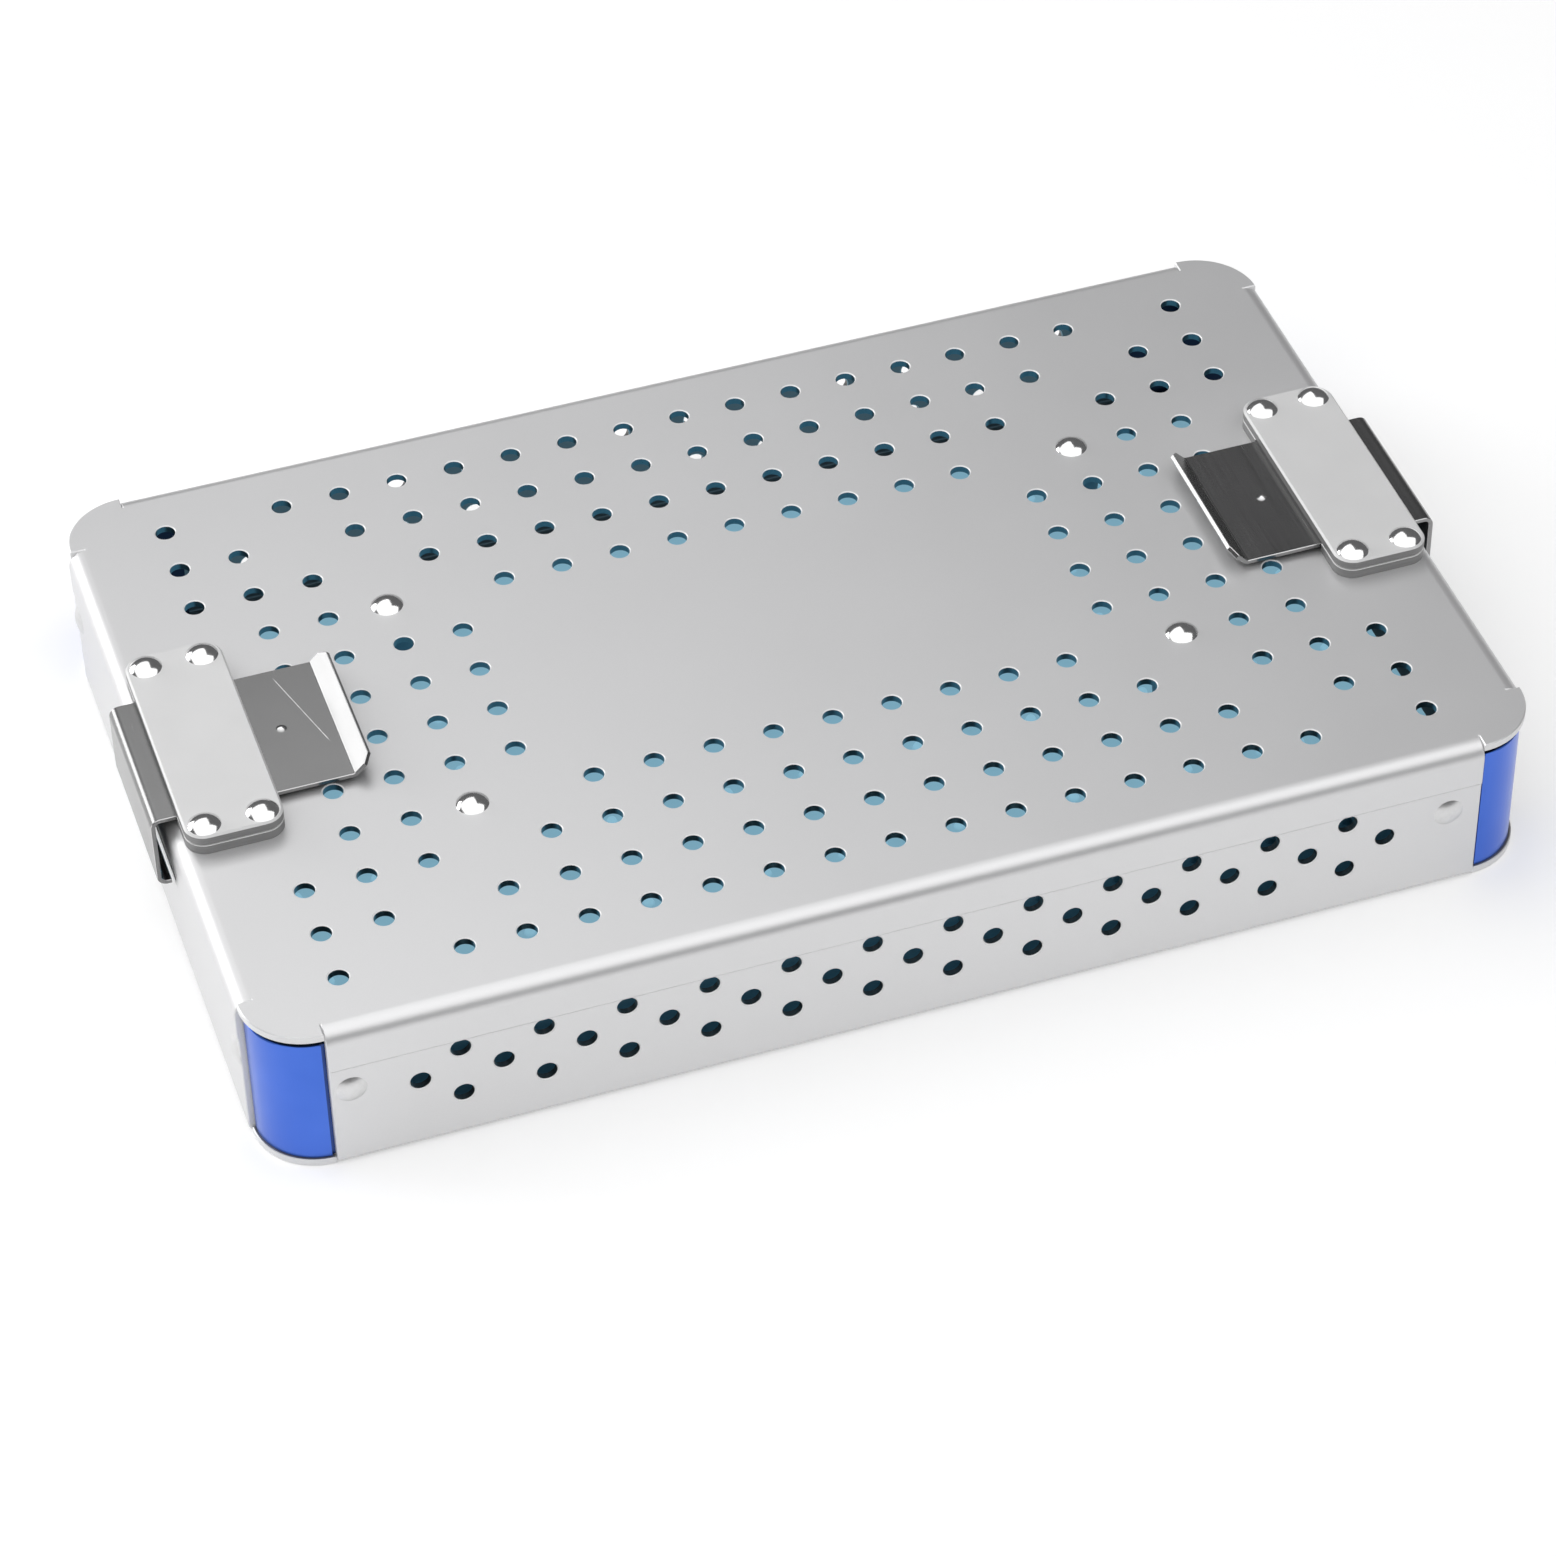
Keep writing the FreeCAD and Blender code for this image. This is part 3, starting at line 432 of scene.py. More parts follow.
def folded_sheet(name, half, corner, corner_radius, flange, skirt, bend, face, rising, holes, slots=(),
                 back=0):
    """A panel with a flange folded from each side and its rounded corners left flat.

    The flat pattern's u is the container's x. Its v is y on a sheet whose flanges hang, and -y on one whose
    flanges rise, so that the outer face looks outwards. A short slot parts each flange from the corners.
    """
    fold_length = bend * math.pi / 2
    fold_at = [side - bend for side in half]
    reach = [at + fold_length + skirt - bend for at in fold_at]
    side_edge = [edge - parting_slot for edge in flange]
    stations = np.linspace(fold_length, 0, fold_steps + 1)

    def flank(axis):
        """One flange's side, from its free corner down over the fold to the slot's end."""
        out = np.concatenate([[reach[axis]], fold_at[axis] + stations, [fold_at[axis] - parting_slot]])
        still = np.full_like(out, side_edge[1 - axis])
        return np.column_stack([out, still] if axis == 0 else [still, out])

    quarter = np.concatenate([
        flank(0),
        [(fold_at[0] - parting_slot, flange[1])],
        [(corner[0] + corner_radius, flange[1])],
        arc(corner, corner_radius, 0, 90, corner_steps),
        [(flange[0], corner[1] + corner_radius)],
        [(flange[0], fold_at[1] - parting_slot)],
        flank(1)[::-1],
    ])
    outline = np.concatenate([quarter, quarter[::-1] * (-1, 1), quarter * (-1, -1), quarter[::-1] * (1, -1)])
    rulings = []
    for station in stations:
        for sign in (-1, 1):
            u, v = (fold_at[0] + station) * sign, side_edge[1] - burr
            rulings.append([(u, -v), (u, v)])
            u, v = side_edge[0] - burr, (fold_at[1] + station) * sign
            rulings.append([(-u, v), (u, v)])
    split = [edge - parting_slot / 2 for edge in flange]

    def place(u, v, depth):
        end = (abs(u) > fold_at[0]) & (abs(v) < split[1])
        long = (abs(v) > fold_at[1]) & (abs(u) < split[0])
        fold = [(fold_length, -math.pi / 2), (skirt, 0)]
        across_x, level_x = run(abs(u), depth, [(fold_at[0], 0)] + fold)
        across_y, level_y = run(abs(v), depth, [(fold_at[1], 0)] + fold)
        x = np.where(end, np.sign(u) * across_x, u)
        y = np.where(long, np.sign(v) * across_y, v)
        level = np.where(end, level_x, np.where(long, level_y, -depth))
        return np.column_stack([x, -y if rising else y, face + (-level if rising else level)])

    return bent_plate(name, outline, holes, sheet_gauge, burr, place, rulings, slots, bright=(0, 1, 1, 2),
                      back=back, under=inner_burr)


lid_low, lid_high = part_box("lid_cover")
_, tray_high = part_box("base_tray")
vent_radius = 2.5 * millimetre
rivet_hole_radius = 2.1 * millimetre
corner_inset = 16.8 * millimetre
flange_gap = 0.3 * millimetre
corner_centre = (lid_high.x - corner_inset, lid_high.y - corner_inset)
flange_end = (corner_centre[0] - flange_gap, corner_centre[1] - flange_gap)
tray_bend = 2.5 * millimetre
tray_corner_radius = 15.7 * millimetre
tray_half = (tray_high.x, tray_high.y)


def developed(half, bend, height):
    """The flat pattern's place for a height up a wall: the fold's start + the fold + the rest of the wall."""
    return half - bend + bend * math.pi / 2 + height - bend


wall_shift = -1.7 * millimetre
wall_vent_height = 20.9 * millimetre
wall_vent_pitch = 20 * millimetre
wall_row_rise = 7.35 * millimetre
middle_row_vents = 13
wall_vents = []
for fewer, rise in ((0, 0.0), (1, wall_row_rise), (1, -wall_row_rise)):
    for index in range(middle_row_vents - fewer):
        x = wall_shift + (index - (middle_row_vents - 1 - fewer) / 2) * wall_vent_pitch
        v = developed(tray_half[1], tray_bend, wall_vent_height + rise)
        wall_vents += [(x, v, vent_radius), (x, -v, vent_radius)]
drain_pitch = 75 * millimetre
drain_y = 45 * millimetre
drains = [(x * drain_pitch, y * drain_y, vent_radius) for x in (-1.5, -0.5, 0.5, 1.5) for y in (-1, 1)]
long_rivet_inset = 6.9 * millimetre
end_rivet_inset = 4.2 * millimetre
long_rivet_x = [wall_shift + sign * (corner_centre[0] - long_rivet_inset) for sign in (-1, 1)]
end_rivet_y = corner_centre[1] - end_rivet_inset
rivet_height = 24 * millimetre
tray_rivet_holes = []
hook_slots = []
slot_heights = (23.7 * millimetre, 26.5 * millimetre)
slot_half = 21.8 * millimetre
slot_corner = 0.5 * millimetre
for sign in (-1, 1):
    ends = sorted(developed(tray_half[0], tray_bend, z) * sign for z in slot_heights)
    hook_slots.append(rounded_box((ends[0], -slot_half), (ends[1], slot_half), slot_corner, steps=4))
    v = developed(tray_half[1], tray_bend, rivet_height) * sign
    u = developed(tray_half[0], tray_bend, rivet_height) * sign
    tray_rivet_holes += [(x, v, rivet_hole_radius) for x in long_rivet_x]
    tray_rivet_holes += [(u, y, rivet_hole_radius) for y in (-end_rivet_y, end_rivet_y)]

tray = folded_sheet("tray", tray_half, corner_centre, tray_corner_radius, flange_end, tray_high.z, tray_bend,
                    face=0.0, rising=True, holes=wall_vents + drains + tray_rivet_holes, slots=hook_slots,
                    back=3)
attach(tray, "base")
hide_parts("base_tray")


def satin_sheet(name, dark, light):
    """Satin-anodised aluminium: a fine even grain, faintly cloudy, with a soft sheen.

    Its tone wavers a little round 1, so that tone - half lies near the middle between dark and light.
    """
    finish = Finish(name, Metallic=0.75)
    grain = finish.noise(finish.where(), 2600.0, 2.0, 0.6)
    clouds = finish.noise(finish.where(), 14.0, 3.0, 0.55)
    tone = finish.between(clouds, 0.96, 1.03) * finish.between(grain, 0.975, 1.025)
    half = 0.5
    finish.vary("Base Color", finish.blend(tone - half, grey(dark), grey(light, 0.01)))
    finish.vary("Roughness", finish.between(clouds, 0.40, 0.48))
    finish.relief(grain, 0.00002, 0.35)
    return finish.material


def deburred_and_highlit():
    """The sheet's rims, brushed bright where the burr came off, and painted near white as a highlight."""
    finish = Finish("deburred_rim_and_highlight", Metallic=0.1)
    strokes = finish.noise(finish.where(), 3500.0, 2.0, 0.6)
    finish.vary("Base Color", finish.blend(strokes, grey(0.86), grey(0.98)))
    finish.vary("Roughness", finish.between(strokes, 0.34, 0.48))
    return finish.material


def punched(name, dark, light):
    """The punched bores, with marks drawn by the punch, painted dark as the shade inside the holes."""
    finish = Finish(name, Metallic=0.9)
    drawn = finish.noise(finish.where(), 1600.0, 2.0, 0.6)
    finish.vary("Base Color", finish.blend(drawn, dark, light))
    finish.vary("Roughness", finish.between(drawn, 0.24, 0.36))
    return finish.material


satin = satin_sheet("satin_sheet", dark=0.46, light=1.04)
# Painted shade: the tray's inner face is a darker copy of the satin sheet.
satin_inside_painted_shade = satin_sheet("satin_inside_painted_shade", dark=0.15, light=0.34)
# Partly painted highlight: the rims and the vents' bevels are near white.
bright_rim = deburred_and_highlit()
# Painted shade in the bores: near black in the walls, dark teal in the lid.
wall_bore = punched("wall_bore", dark=grey(0.05), light=grey(0.10))
lid_bore = punched("lid_bore", dark=(0.08, 0.17, 0.21, 1), light=(0.13, 0.25, 0.31, 1))
for metal in (satin, bright_rim, wall_bore, satin_inside_painted_shade):
    tray.data.materials.append(metal)


# Silicone mat.
# One soft sheet of moulded silicone that lies on the tray's bottom. Rows of short round-topped fingers stand
# on it, so that instruments lie clear of its floor and air passes under them.
def upright(u, v, depth, top):
    """A flat plate that lies level, with its outer face at the top."""
    return np.column_stack([u, v, top - depth + 0 * u])


mat_low, mat_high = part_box("silicone_mat")
mat_floor = mat_low.z + 1.4 * millimetre
mat_corner = 12 * millimetre
mat_bevel = 0.3 * millimetre
mat_outline = rounded_box(mat_low.xy, mat_high.xy, mat_corner)
mat_base = bent_plate("mat_floor", mat_outline, [], mat_floor - mat_low.z, mat_bevel,
                      lambda u, v, depth: upright(u, v, depth, mat_floor))


def lathe(profile, centres, axis=(0, 0, 1), steps=32):
    """A profile of (radius, height) pairs turned about an axis at each centre.

    A point is centre + radius * (cos a * side + sin a * other) + height * axis. A radius of 0 is one point.
    """
    axis = np.array(axis, float)
    side = np.cross(axis, (0, 1, 0) if abs(axis[1]) < 0.5 else (0, 0, 1))
    other = np.cross(axis, side)
    angle = np.arange(steps) * 2 * math.pi / steps
    circle = np.cos(angle)[:, None] * side + np.sin(angle)[:, None] * other
    points = []
    faces = []
    rings = []
    count = 0
    for radius, height in profile:
        ring = radius * circle + height * axis if radius > 0 else height * axis[None, :]
        points.append(ring)
        rings.append(count + (np.arange(steps) if radius > 0 else np.zeros(steps, int)))
        count += len(ring)
    for low, high in zip(rings, rings[1:]):
        quads = np.column_stack([low, np.roll(low, -1), np.roll(high, -1), high])
        for quad in quads.tolist():
            faces.append([p for i, p in enumerate(quad) if p != quad[i - 1]])
    shape = np.concatenate(points)
    every = np.concatenate([shape + np.array(centre) for centre in centres])
    all_faces = [[p + len(shape) * i for p in face] for i in range(len(centres)) for face in faces]
    return every, all_faces


turned_crease = 28


def turned(name, profile, centres, steps=32, crease=turned_crease):
    """An upright turned piece at each centre, smooth but for the edges sharper than the crease angle."""
    piece = new_piece(name, *lathe(profile, centres, steps=steps))
    piece.data.set_sharp_from_angle(angle=math.radians(crease))
    return piece


finger_pitch = 10 * millimetre
finger_columns = 29
finger_rows = 18
finger_radius = 1.5 * millimetre
finger_height = mat_high.z - mat_floor
crown_radius = 0.72 * finger_radius
crown_height = 0.6 * millimetre
crown_swing = np.radians(np.linspace(0, 90, 5))
finger_profile = [(finger_radius, 0.0)]
finger_profile += [(crown_radius * math.cos(a), finger_height - crown_height * (1 - math.sin(a)))
                   for a in crown_swing[:-1]]
finger_profile += [(0.0, finger_height)]
finger_places = [((column - (finger_columns - 1) / 2) * finger_pitch,
                  (row - (finger_rows - 1) / 2) * finger_pitch, mat_floor)
                 for column in range(finger_columns) for row in range(finger_rows)]
fingers = turned("mat_fingers", finger_profile, finger_places, steps=10, crease=50)


def silicone():
    """Matt sky-blue silicone, slightly cloudy. Its glow is painted light, in place of the vents' daylight.

    Each fade is along an axis, from where that light is gone to where it is full. It fades towards the mat's
    edges, and is gone at its underside and above its fingers.
    """
    fades = (("Y", -0.076, -0.060), ("Y", 0.100, 0.092), ("X", 0.162, 0.154), ("X", -0.158, -0.135),
             ("Z", 0.0006, 0.0046), ("Z", 0.020, 0.012))
    finish = Finish("blue_silicone", Roughness=0.62, Specular_IOR_Level=0.4, Sheen_Weight=0.15,
                    Emission_Strength=1.0)
    clouds = finish.noise(finish.where(), 40.0, 3.0)
    fine = finish.noise(finish.where(), 1500.0, 2.0)
    finish.vary("Base Color", finish.blend(clouds, (0.05, 0.16, 0.23, 1), (0.07, 0.20, 0.27, 1)))
    glow = finish.between(clouds, 0.90, 1.05)
    for axis, gone, full in fades:
        glow = glow * finish.node("ShaderNodeMapRange", {"interpolation_type": "SMOOTHSTEP"},
                                  {"Value": finish.along(axis), "From Min": gone, "From Max": full})
    # Painted light: the mat glows sky-blue, fading towards its edges, its underside and above its fingers.
    finish.vary("Emission Color", finish.blend(glow, grey(0.0), (0.24, 0.45, 0.56, 1)))
    finish.relief(fine, 0.00004, 0.3)
    return finish.material


blue_silicone = silicone()
for piece in (mat_base, fingers):
    piece.data.materials.append(blue_silicone)
    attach(piece, "base")
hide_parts("silicone_mat")


# Corner posts.
# Four lengths of one blue-anodised aluminium extrusion: a quarter-round shell that closes the tray's corner,
# and a flat wing behind each wall, which a rivet holds.
wing_face = (tray_half[0] - sheet_gauge, tray_half[1] - sheet_gauge)
wing_gauge = 2 * millimetre
wing_reach = 14 * millimetre
shell_radius = 15 * millimetre
shell_hollow = wing_face[1] - wing_gauge - corner_centre[1]
shell_start = 2
shell_steps = 24
post_bevel = 0.2 * millimetre
post_clearance = 0.8 * millimetre


def post_outline():
    """The extrusion's section at the rear right corner, counterclockwise from the end wall's wing.

    The shell's arc leaves each wing's face shell_start degrees round its circle.
    """
    x, y = corner_centre
    shoulder = shell_radius * math.sin(math.radians(shell_start))
    return np.concatenate([
        [(x + shell_hollow, y - wing_reach), (wing_face[0], y - wing_reach), (wing_face[0], y + shoulder)],
        arc((x, y), shell_radius, shell_start, 90 - shell_start, shell_steps),
        [(x + shoulder, wing_face[1]), (x - wing_reach, wing_face[1]), (x - wing_reach, y + shell_hollow)],
        arc((x, y), shell_hollow, 90, 0, shell_steps),
    ])


def anodised():
    """Deep blue dye under a clear oxide, with fine drawing lines along the extrusion; nearly black inside as
    painted shade.

    Inside is where hypot(max(|x| - cx, 0), max(|y| - cy, 0)) < painted_shade_reach, with (cx, cy) the
    corner's centre.
    """
    painted_shade_reach = 14.4 * millimetre
    soft_edge = millimetre / 3
    finish = Finish("blue_anodised", Metallic=0.9, Coat_Weight=0.25, Coat_Roughness=0.12)
    lines = finish.noise(finish.where((1, 1, 0.004)), 1800.0, 2.0, 0.6)
    clouds = finish.noise(finish.where(), 60.0, 2.0)
    square_reach = 0.0
    for axis, centre in zip("XY", corner_centre):
        place = finish.along(axis)
        beyond = place.worked("MAXIMUM", place.worked("ABSOLUTE", place) - centre, 0.0)
        square_reach = square_reach + beyond * beyond
    beyond_painted_shade = ((square_reach.power(0.5) - painted_shade_reach) * (1 / soft_edge)).clamped()
    dye = finish.blend(clouds, (0.045, 0.14, 0.62, 1), (0.07, 0.18, 0.72, 1))
    # Painted shade: inside the tray the posts are nearly black.
    finish.vary("Base Color", finish.blend(beyond_painted_shade, (0.008, 0.014, 0.04, 1), dye))
    finish.vary("Roughness", finish.between(lines, 0.26, 0.36))
    finish.relief(lines, 0.00001, 0.4)
    return finish.material


blue_anodised = anodised()
for post, x_sign, y_sign in (("front_left", -1, -1), ("front_right", 1, -1), ("rear_left", -1, 1),
                             ("rear_right", 1, 1)):
    low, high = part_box(f"corner_post_{post}")
    section = post_outline() * (x_sign, y_sign)
    if x_sign * y_sign < 0:
        section = section[::-1]
    top = high.z - post_clearance
    shell = bent_plate(f"post_{post}", section, [], top - low.z, post_bevel,
                       lambda u, v, depth: upright(u, v, depth, top))
    shell.data.materials.append(blue_anodised)
    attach(shell, "base")
    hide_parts(f"corner_post_{post}")


# Wall rivets.
# Low domed aluminium rivets, two through each long wall and each end wall. They hold the posts' wings, and
# each is closed by a flat tail behind its wing.
shank_radius = 2 * millimetre
tail_radius = 3 * millimetre
tail_height = 1 * millimetre
tail_edge = 0.2 * millimetre
dome_share = 0.97


def rivet_profile(head, dome, grip):
    """Half of a rivet's section, from its tail behind the gripped sheets up to the crown of its dome.

    The dome is dome_share of an arc of radius (head^2 + dome^2) / (2 dome). The rest of it is a small
    steeper rim.
    """
    sphere = (head * head + dome * dome) / (2 * dome)
    reach = math.asin(head / sphere) * dome_share
    cap = [(sphere * math.sin(a), sphere * math.cos(a) - sphere + dome) for a in np.linspace(reach, 0, 12)]
    cap[-1] = (0.0, dome)
    end = -grip - tail_height
    return [(0.0, end), (tail_radius - tail_edge, end), (tail_radius, end + tail_edge), (tail_radius, -grip),
            (shank_radius, -grip), (shank_radius, 0.0), (head, 0.0)] + cap


def rivet_metal(name, dark, light, rough):
    """Rivet aluminium with faint setting marks."""
    finish = Finish(name, Metallic=1.0)
    marks = finish.noise(finish.where(), 900.0, 3.0, 0.6)
    finish.vary("Base Color", finish.blend(marks, grey(dark), grey(light)))
    finish.vary("Roughness", finish.between(marks, rough, rough + 0.1))
    finish.relief(marks, 0.00002, 0.25)
    return finish.material


polished = rivet_metal("bright_rivet", dark=0.74, light=0.88, rough=0.10)
dull = rivet_metal("dull_rivet", dark=0.62, light=0.74, rough=0.26)


def fix_rivets(name, parts, body, node, metal=polished):
    """Joins turned rivets into one piece that stands for a node."""
    points = np.concatenate([part[0] for part in parts])
    starts = np.cumsum([0] + [len(part[0]) for part in parts])
    faces = [[p + start for p in face] for start, part in zip(starts, parts) for face in part[1]]
    piece = new_piece(name, points, faces)
    piece.data.set_sharp_from_angle(angle=math.radians(turned_crease))
    piece.data.materials.append(metal)
    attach(piece, body)
    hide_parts(node)


wall_rivet_radius = 3.75 * millimetre
wall_rivet_dome = 1.1 * millimetre
wall_profile = rivet_profile(wall_rivet_radius, wall_rivet_dome, sheet_gauge + wing_gauge)
fix_rivets("rivets_in_long_walls",
           [lathe(wall_profile, [(x, tray_half[1] * sign, rivet_height) for x in long_rivet_x], (0, sign, 0))
            for sign in (-1, 1)], "base", "long_wall_rivets", dull)
fix_rivets("rivets_in_end_walls",
           [lathe(wall_profile, [(tray_half[0] * sign, y, rivet_height) for y in (-end_rivet_y, end_rivet_y)],
                  (sign, 0, 0)) for sign in (-1, 1)], "base", "end_wall_rivets", dull)


# Lid.
# One aluminium sheet like the tray's, folded down on four sides by a short flange. Its vents leave a plain
# middle, and make way for the latches and for the rivets of the hold-down pads.
lid_vent_pitch = 15 * millimetre
lid_columns = 19
lid_rows = 12
side_rows = 4
end_columns = 5
latch_rows = 3
lid_bend = 4.3 * millimetre
lid_corner_radius = 16 * millimetre
lid_top = lid_high.z
pad_rivet_x = 6 * lid_vent_pitch
pad_rivet_y = 2.5 * lid_vent_pitch
pad_rivet_places = [(x * pad_rivet_x, y * pad_rivet_y) for x in (-1, 1) for y in (-1, 1)]


def lid_vents():
    """The lattice's vents: rows along each side and columns at each end, shorter towards the middle.

    The end columns make way for the latch, and the lattice for a pad's rivet at each of its inner corners.
    """
    found = []
    for column in range(lid_columns):
        for row in range(lid_rows):
            from_end = min(column, lid_columns - 1 - column)
            from_side = min(row, lid_rows - 1 - row)
            in_side_rows = from_side < side_rows and from_end >= from_side + 2
            in_end_columns = from_end < end_columns and from_side >= from_end
            at_latch = from_end == 0 and from_side >= latch_rows
            at_pad = from_end == from_side == side_rows - 1
            if (in_side_rows or in_end_columns) and not at_latch and not at_pad:
                found.append(((column - (lid_columns - 1) / 2) * lid_vent_pitch,
                              (row - (lid_rows - 1) / 2) * lid_vent_pitch, vent_radius))
    return found


latch_plates = {end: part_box(f"{end}_latch_cover") for end in ("left", "right")}
latch_rivet_x = 7 * millimetre
latch_rivet_y = 29 * millimetre


def latch_rivet_places(end):
    """Where the four rivets of a latch stand, to both sides of its plate's middle."""
    low, high = latch_plates[end]
    middle = (low.x + high.x) / 2
    return [(middle + x * latch_rivet_x, y * latch_rivet_y) for x in (-1, 1) for y in (-1, 1)]


lid_rivet_places = pad_rivet_places + latch_rivet_places("left") + latch_rivet_places("right")
lid_holes = lid_vents() + [(x, y, rivet_hole_radius) for x, y in lid_rivet_places]
lid = folded_sheet("lid", (lid_high.x, lid_high.y), corner_centre, lid_corner_radius, flange_end,
                   lid_high.z - lid_low.z, lid_bend, face=lid_top, rising=False, holes=lid_holes)
for metal in (satin, bright_rim, lid_bore):
    lid.data.materials.append(metal)
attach(lid, "lid")
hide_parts("lid_cover")


# Hold-down pads.
# A tapered silicone pad hangs under each of the lid's four rivets and keeps the instruments from shifting.
# The rivet clamps it by a steel washer in its well. The profiles are in millimetres.
pad_profile = [(2.1, -3.0), (5.0, -3.0), (5.0, -17.6), (5.4, -18.0), (6.0, -18.0), (6.5, -17.5), (8.0, 0.0),
               (2.1, 0.0), (2.1, -3.0)]
washer_profile = [(2.1, -1.0), (4.4, -1.0), (4.5, -0.9), (4.5, -0.1), (4.4, 0.0), (2.1, 0.0), (2.1, -1.0)]
pad_web = 3 * millimetre
lid_underside = lid_top - sheet_gauge
for corner, (x, y) in zip(("front_left", "rear_left", "front_right", "rear_right"), pad_rivet_places):
    pad = turned(f"pad_{corner}", [(r * millimetre, h * millimetre) for r, h in pad_profile],
                 [(x, y, lid_underside)])
    pad.data.materials.append(blue_silicone)
    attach(pad, "lid")
    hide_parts(f"hold_down_pad_{corner}")
washers = turned("washers", [(r * millimetre, h * millimetre) for r, h in washer_profile],
                 [(x, y, lid_underside - pad_web) for x, y in pad_rivet_places])


def plain_steel():
    """Plain bright-drawn washer steel."""
    finish = Finish("plain_washer", Metallic=1.0)
    marks = finish.noise(finish.where(), 1200.0, 2.0)
    finish.vary("Base Color", finish.blend(marks, grey(0.5), grey(0.62)))
    finish.vary("Roughness", finish.between(marks, 0.28, 0.4))
    return finish.material


washers.data.materials.append(plain_steel())
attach(washers, "lid")
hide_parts("pad_washers")
lid_rivet_radius = 4 * millimetre
lid_rivet_dome = 1.8 * millimetre
pad_rivet_grip = 6 * millimetre
fix_rivets("rivets_of_pads",
           [lathe(rivet_profile(lid_rivet_radius, lid_rivet_dome, pad_rivet_grip),
                  [(x, y, lid_top) for x, y in pad_rivet_places])], "lid", "pad_rivets")


# Latches.
# At each end two spacer blocks and a cover plate are riveted to the lid, and leave a flat channel between
# them. Plates and spacers are fine-blasted aluminium with sawn sides.
def blasted():
    """Fine-blasted light grey aluminium, nearly without sheen."""
    finish = Finish("latch_plate", Metallic=0.35)
    grit = finish.noise(finish.where(), 3000.0, 2.0, 0.6)
    clouds = finish.noise(finish.where(), 70.0, 2.0)
    finish.vary("Base Color", finish.blend(clouds * 0.6 + grit * 0.4, grey(0.66), grey(0.76)))
    finish.vary("Roughness", finish.between(grit, 0.5, 0.62))
    finish.relief(grit, 0.00003, 0.4)
    return finish.material


def cut_side_painted_shade():
    """The plates' sawn sides with fine saw lines, painted darker as shade."""
    finish = Finish("latch_plate_side_painted_shade", Metallic=0.6)
    lines = finish.noise(finish.where((0.05, 0.05, 1)), 2600.0, 2.0, 0.6)
    # Painted shade: the sawn sides are much darker than the plates' tops.
    finish.vary("Base Color", finish.blend(lines, grey(0.22), grey(0.34)))
    finish.vary("Roughness", finish.between(lines, 0.45, 0.6))
    finish.relief(lines, 0.00002, 0.4)
    return finish.material


latch_plate = blasted()
latch_side_painted_shade = cut_side_painted_shade()


def add_block(name, node, outline, holes, bevel):
    """A flat block between the node's heights, in the latch plates' finish."""
    low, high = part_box(node)
    block = bent_plate(name, outline, holes, high.z - low.z, bevel,
                       lambda u, v, depth: upright(u, v, depth, high.z), bright=(0, 1, 0, 1))
    block.data.materials.append(latch_plate)
    block.data.materials.append(latch_side_painted_shade)
    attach(block, "lid")
    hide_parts(node)


plate_corner = 5 * millimetre
plate_corner_steps = 10
cover_bevel = 0.5 * millimetre
spacer_bevel = 0.15 * millimetre
latch_rivet_grip = 7.6 * millimetre
for end in ("left", "right"):
    places = latch_rivet_places(end)
    low, high = latch_plates[end]
    add_block(f"cover_plate_{end}", f"{end}_latch_cover", rounded_box(low.xy, high.xy, plate_corner),
              [(x, y, rivet_hole_radius) for x, y in places], cover_bevel)
    for place, y_sign in (("front", -1), ("rear", 1)):
        low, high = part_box(f"{end}_latch_spacer_{place}")
        outline = np.concatenate([
            arc((high.x - plate_corner, low.y + plate_corner), plate_corner, -90, 0, plate_corner_steps),
            [(high.x, high.y)],
            [(low.x, high.y)],
            arc((low.x + plate_corner, low.y + plate_corner), plate_corner, 180, 270, plate_corner_steps),
        ])
        if y_sign > 0:
            outline = (outline * (1, -1) + (0, low.y + high.y))[::-1]
        add_block(f"spacer_{end}_{place}", f"{end}_latch_spacer_{place}", outline,
                  [(x, y, rivet_hole_radius) for x, y in places if y * y_sign > 0], spacer_bevel)
    fix_rivets(f"rivets_of_{end}_latch",
               [lathe(rivet_profile(lid_rivet_radius, lid_rivet_dome, latch_rivet_grip),
                      [(x, y, latch_plates[end][1].z) for x, y in places])], "lid", f"{end}_latch_rivets")


# Latch sliders.
# A strip of stainless steel in each channel, bent up into a finger lip at its inner end and down over the
# lid's end at its outer one, where a short hook turns in. A pressed dimple stops it at the cover plate.
slider_gauge = 1.2 * millimetre
slider_bend = 2.5 * millimetre
slider_top = 45.5 * millimetre
strip_bevel = 0.15 * millimetre
lip_inset = 49.5 * millimetre
lip_length = 5.2 * millimetre
lip_radius = 1.0 * millimetre
lip_clip = 2.2 * millimetre
hook_length = 1.0 * millimetre
dimple_inset = 37.5 * millimetre
dimple_radius = 1.4 * millimetre
dimple_rise = 0.7 * millimetre
dimple_rings = [r * millimetre for r in (0.25, 0.5, 0.75, 1.0, 1.2, 1.4, 1.6)]


def dimple(distance):
    """The dimple's height at a distance d from its middle: rise * (1 + cos(pi d / R)) / 2, as far as R."""
    reach = np.clip(distance / dimple_radius, 0, 1)
    return dimple_rise * (1 + np.cos(math.pi * reach)) / 2


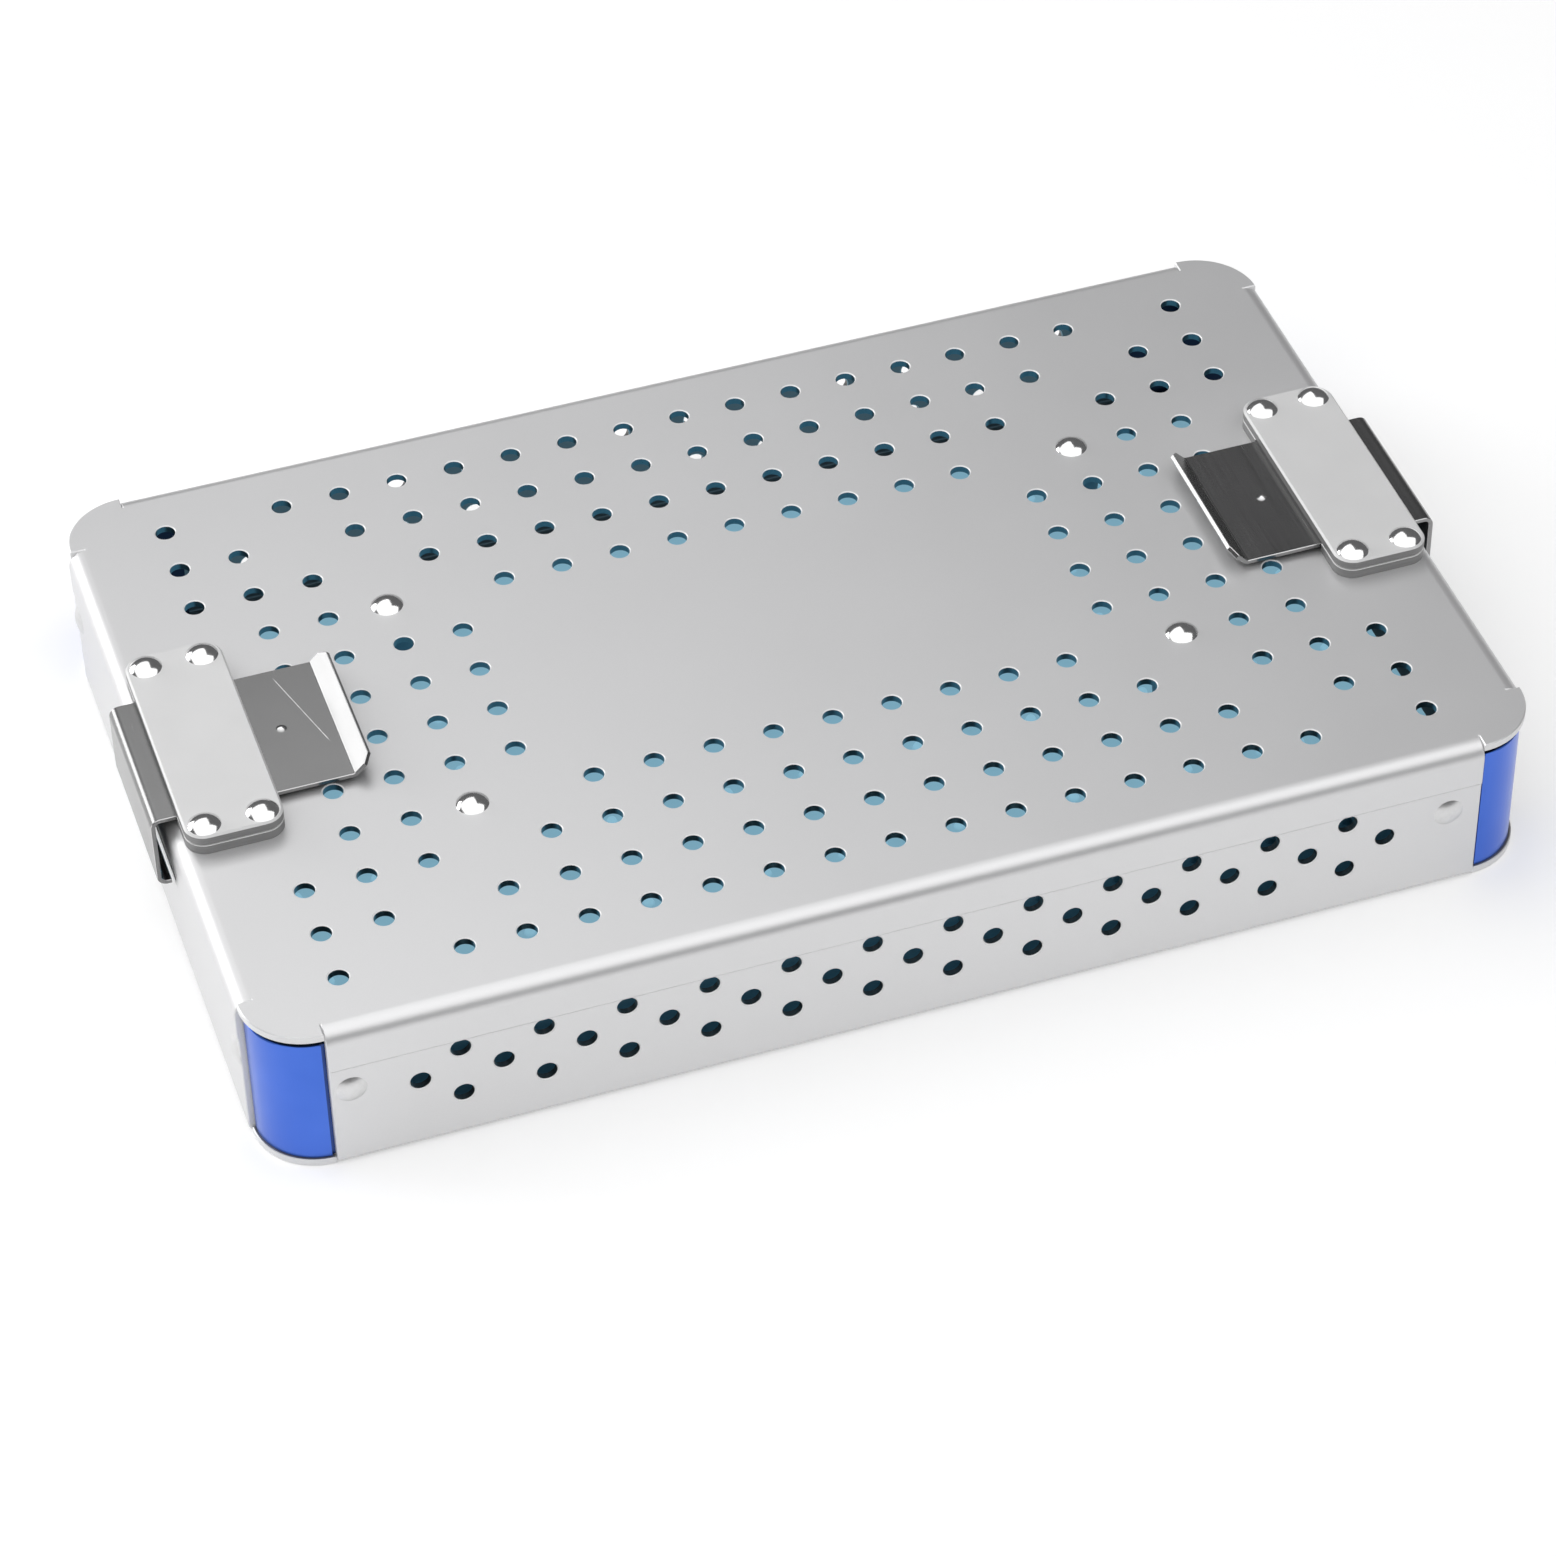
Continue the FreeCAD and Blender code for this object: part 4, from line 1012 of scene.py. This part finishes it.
def brushed(name, dark, light, dimple_highlight_x=None, scratch=None):
    """Stainless steel brushed across the strip. The dimple, at the x given, carries a painted highlight: a
    bright disc.

    A fine scratch may run between two points. It is where |(x - x1) dy - (y - y1) dx| is small, with (dx, dy)
    its unit direction, and where the way along it, (x - x1) dx + (y - y1) dy, lies between 0 and its length.
    """
    dimple_highlight_reach = 1.25 * millimetre
    scratch_half_width = millimetre / 6
    scratch_taper = 5 * millimetre / 3
    finish = Finish(name, Metallic=1.0)
    strokes = finish.noise(finish.where((1, 0.02, 1)), 1500.0, 2.0, 0.6)
    clouds = finish.noise(finish.where(), 45.0, 3.0, 0.6)
    tone = finish.blend(clouds * 0.5 + strokes * 0.5, grey(dark), grey(light))
    x, y = finish.along("X"), finish.along("Y")
    # Painted highlight: a bright disc on the dimple.
    if dimple_highlight_x:
        reach = ((x - dimple_highlight_x) * (x - dimple_highlight_x) + y * y).power(0.5)
        dimple_highlight = ((dimple_highlight_reach - reach) * (1 / millimetre)).clamped()
        tone = finish.blend(dimple_highlight, tone, grey(0.92))
    if scratch:
        (x1, y1), (x2, y2) = scratch
        length = math.hypot(x2 - x1, y2 - y1)
        dx, dy = (x2 - x1) / length, (y2 - y1) / length
        aside = x.worked("ABSOLUTE", (x - x1) * dy - (y - y1) * dx)
        along = (x - x1) * dx + (y - y1) * dy
        waver = finish.noise(finish.where(), 500.0, 2.0)
        ends = (along * (1 / scratch_taper)).clamped() * ((length - along) * (1 / scratch_taper)).clamped()
        mark = (1 - aside * (1 / scratch_half_width)).clamped() * ends
        tone = finish.blend(mark * (0.4 + waver), tone, grey(0.95))
    finish.vary("Base Color", tone)
    finish.vary("Roughness", finish.between(strokes, 0.20, 0.30))
    finish.relief(strokes, 0.00001, 0.2)
    return finish.material


# Painted highlight: the sliders' bevels are a lighter copy of their steel.
slider_edge_highlight = brushed("slider_edge_highlight", dark=0.50, light=0.66)
# The two sliders are one steel; their different tones are painted light and shade, the left one darker than
# the right.
for end, end_sign, dark, light, scratch in (
        ("left", -1, 0.21, 0.29, ((-0.1240, 0.0183), (-0.1166, -0.0080))),
        ("right", 1, 0.25, 0.35, None)):
    low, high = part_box(f"{end}_latch_slider")
    outer = max(abs(low.x), abs(high.x))
    lip_fold = outer - lip_inset
    legs = [(lip_length, 0), (lip_radius * math.pi / 4, math.pi / 4), (outer - slider_bend - lip_fold, 0),
            (slider_bend * math.pi / 2, -math.pi / 2), (slider_top - low.z - 2 * slider_bend, 0),
            (slider_bend * math.pi / 2, -math.pi / 2), (hook_length, 0)]
    marks = np.cumsum([0] + [length for length, _ in legs])
    half_width = high.y
    lip_start = (lip_fold - (lip_length + lip_radius) * math.sqrt(0.5),
                 slider_top + lip_length * math.sqrt(0.5) + lip_radius * (1 - math.sqrt(0.5)))
    stations = np.unique(np.round(np.concatenate([
        np.linspace(marks[i], marks[i + 1], fold_steps + 1) for i in (1, 3, 5)]), 9))
    side = np.column_stack([stations, np.full_like(stations, -half_width)])
    outline = np.concatenate([
        [(0.0, -half_width + lip_clip), (lip_clip, -half_width)],
        side,
        [(marks[-1], -half_width), (marks[-1], half_width)],
        side[::-1] * (1, -1),
        [(lip_clip, half_width), (0.0, half_width - lip_clip)],
    ])
    dimple_x = outer - dimple_inset
    dimple_at = marks[2] + dimple_x - lip_fold
    rings = [arc((dimple_at, 0.0), radius, 0, 360, 24) for radius in dimple_rings]
    folds = [[(station, -half_width + strip_bevel), (station, half_width - strip_bevel)]
             for station in stations]

    def place(u, v, depth):
        along, up = run(u, depth, legs, lip_start, -math.pi / 4)
        swell = dimple(np.hypot(u - dimple_at, v))
        return np.column_stack([along * end_sign, v * end_sign, up + swell])

    slider = bent_plate(f"slider_{end}", outline, [], slider_gauge, strip_bevel, place, folds + rings,
                        bright=(1, 0, 0, 0))
    slider.data.materials.append(brushed(f"slider_steel_{end}", dark, light, dimple_x * end_sign, scratch))
    slider.data.materials.append(slider_edge_highlight)
    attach(slider, f"{end}_latch")
    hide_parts(f"{end}_latch_slider")
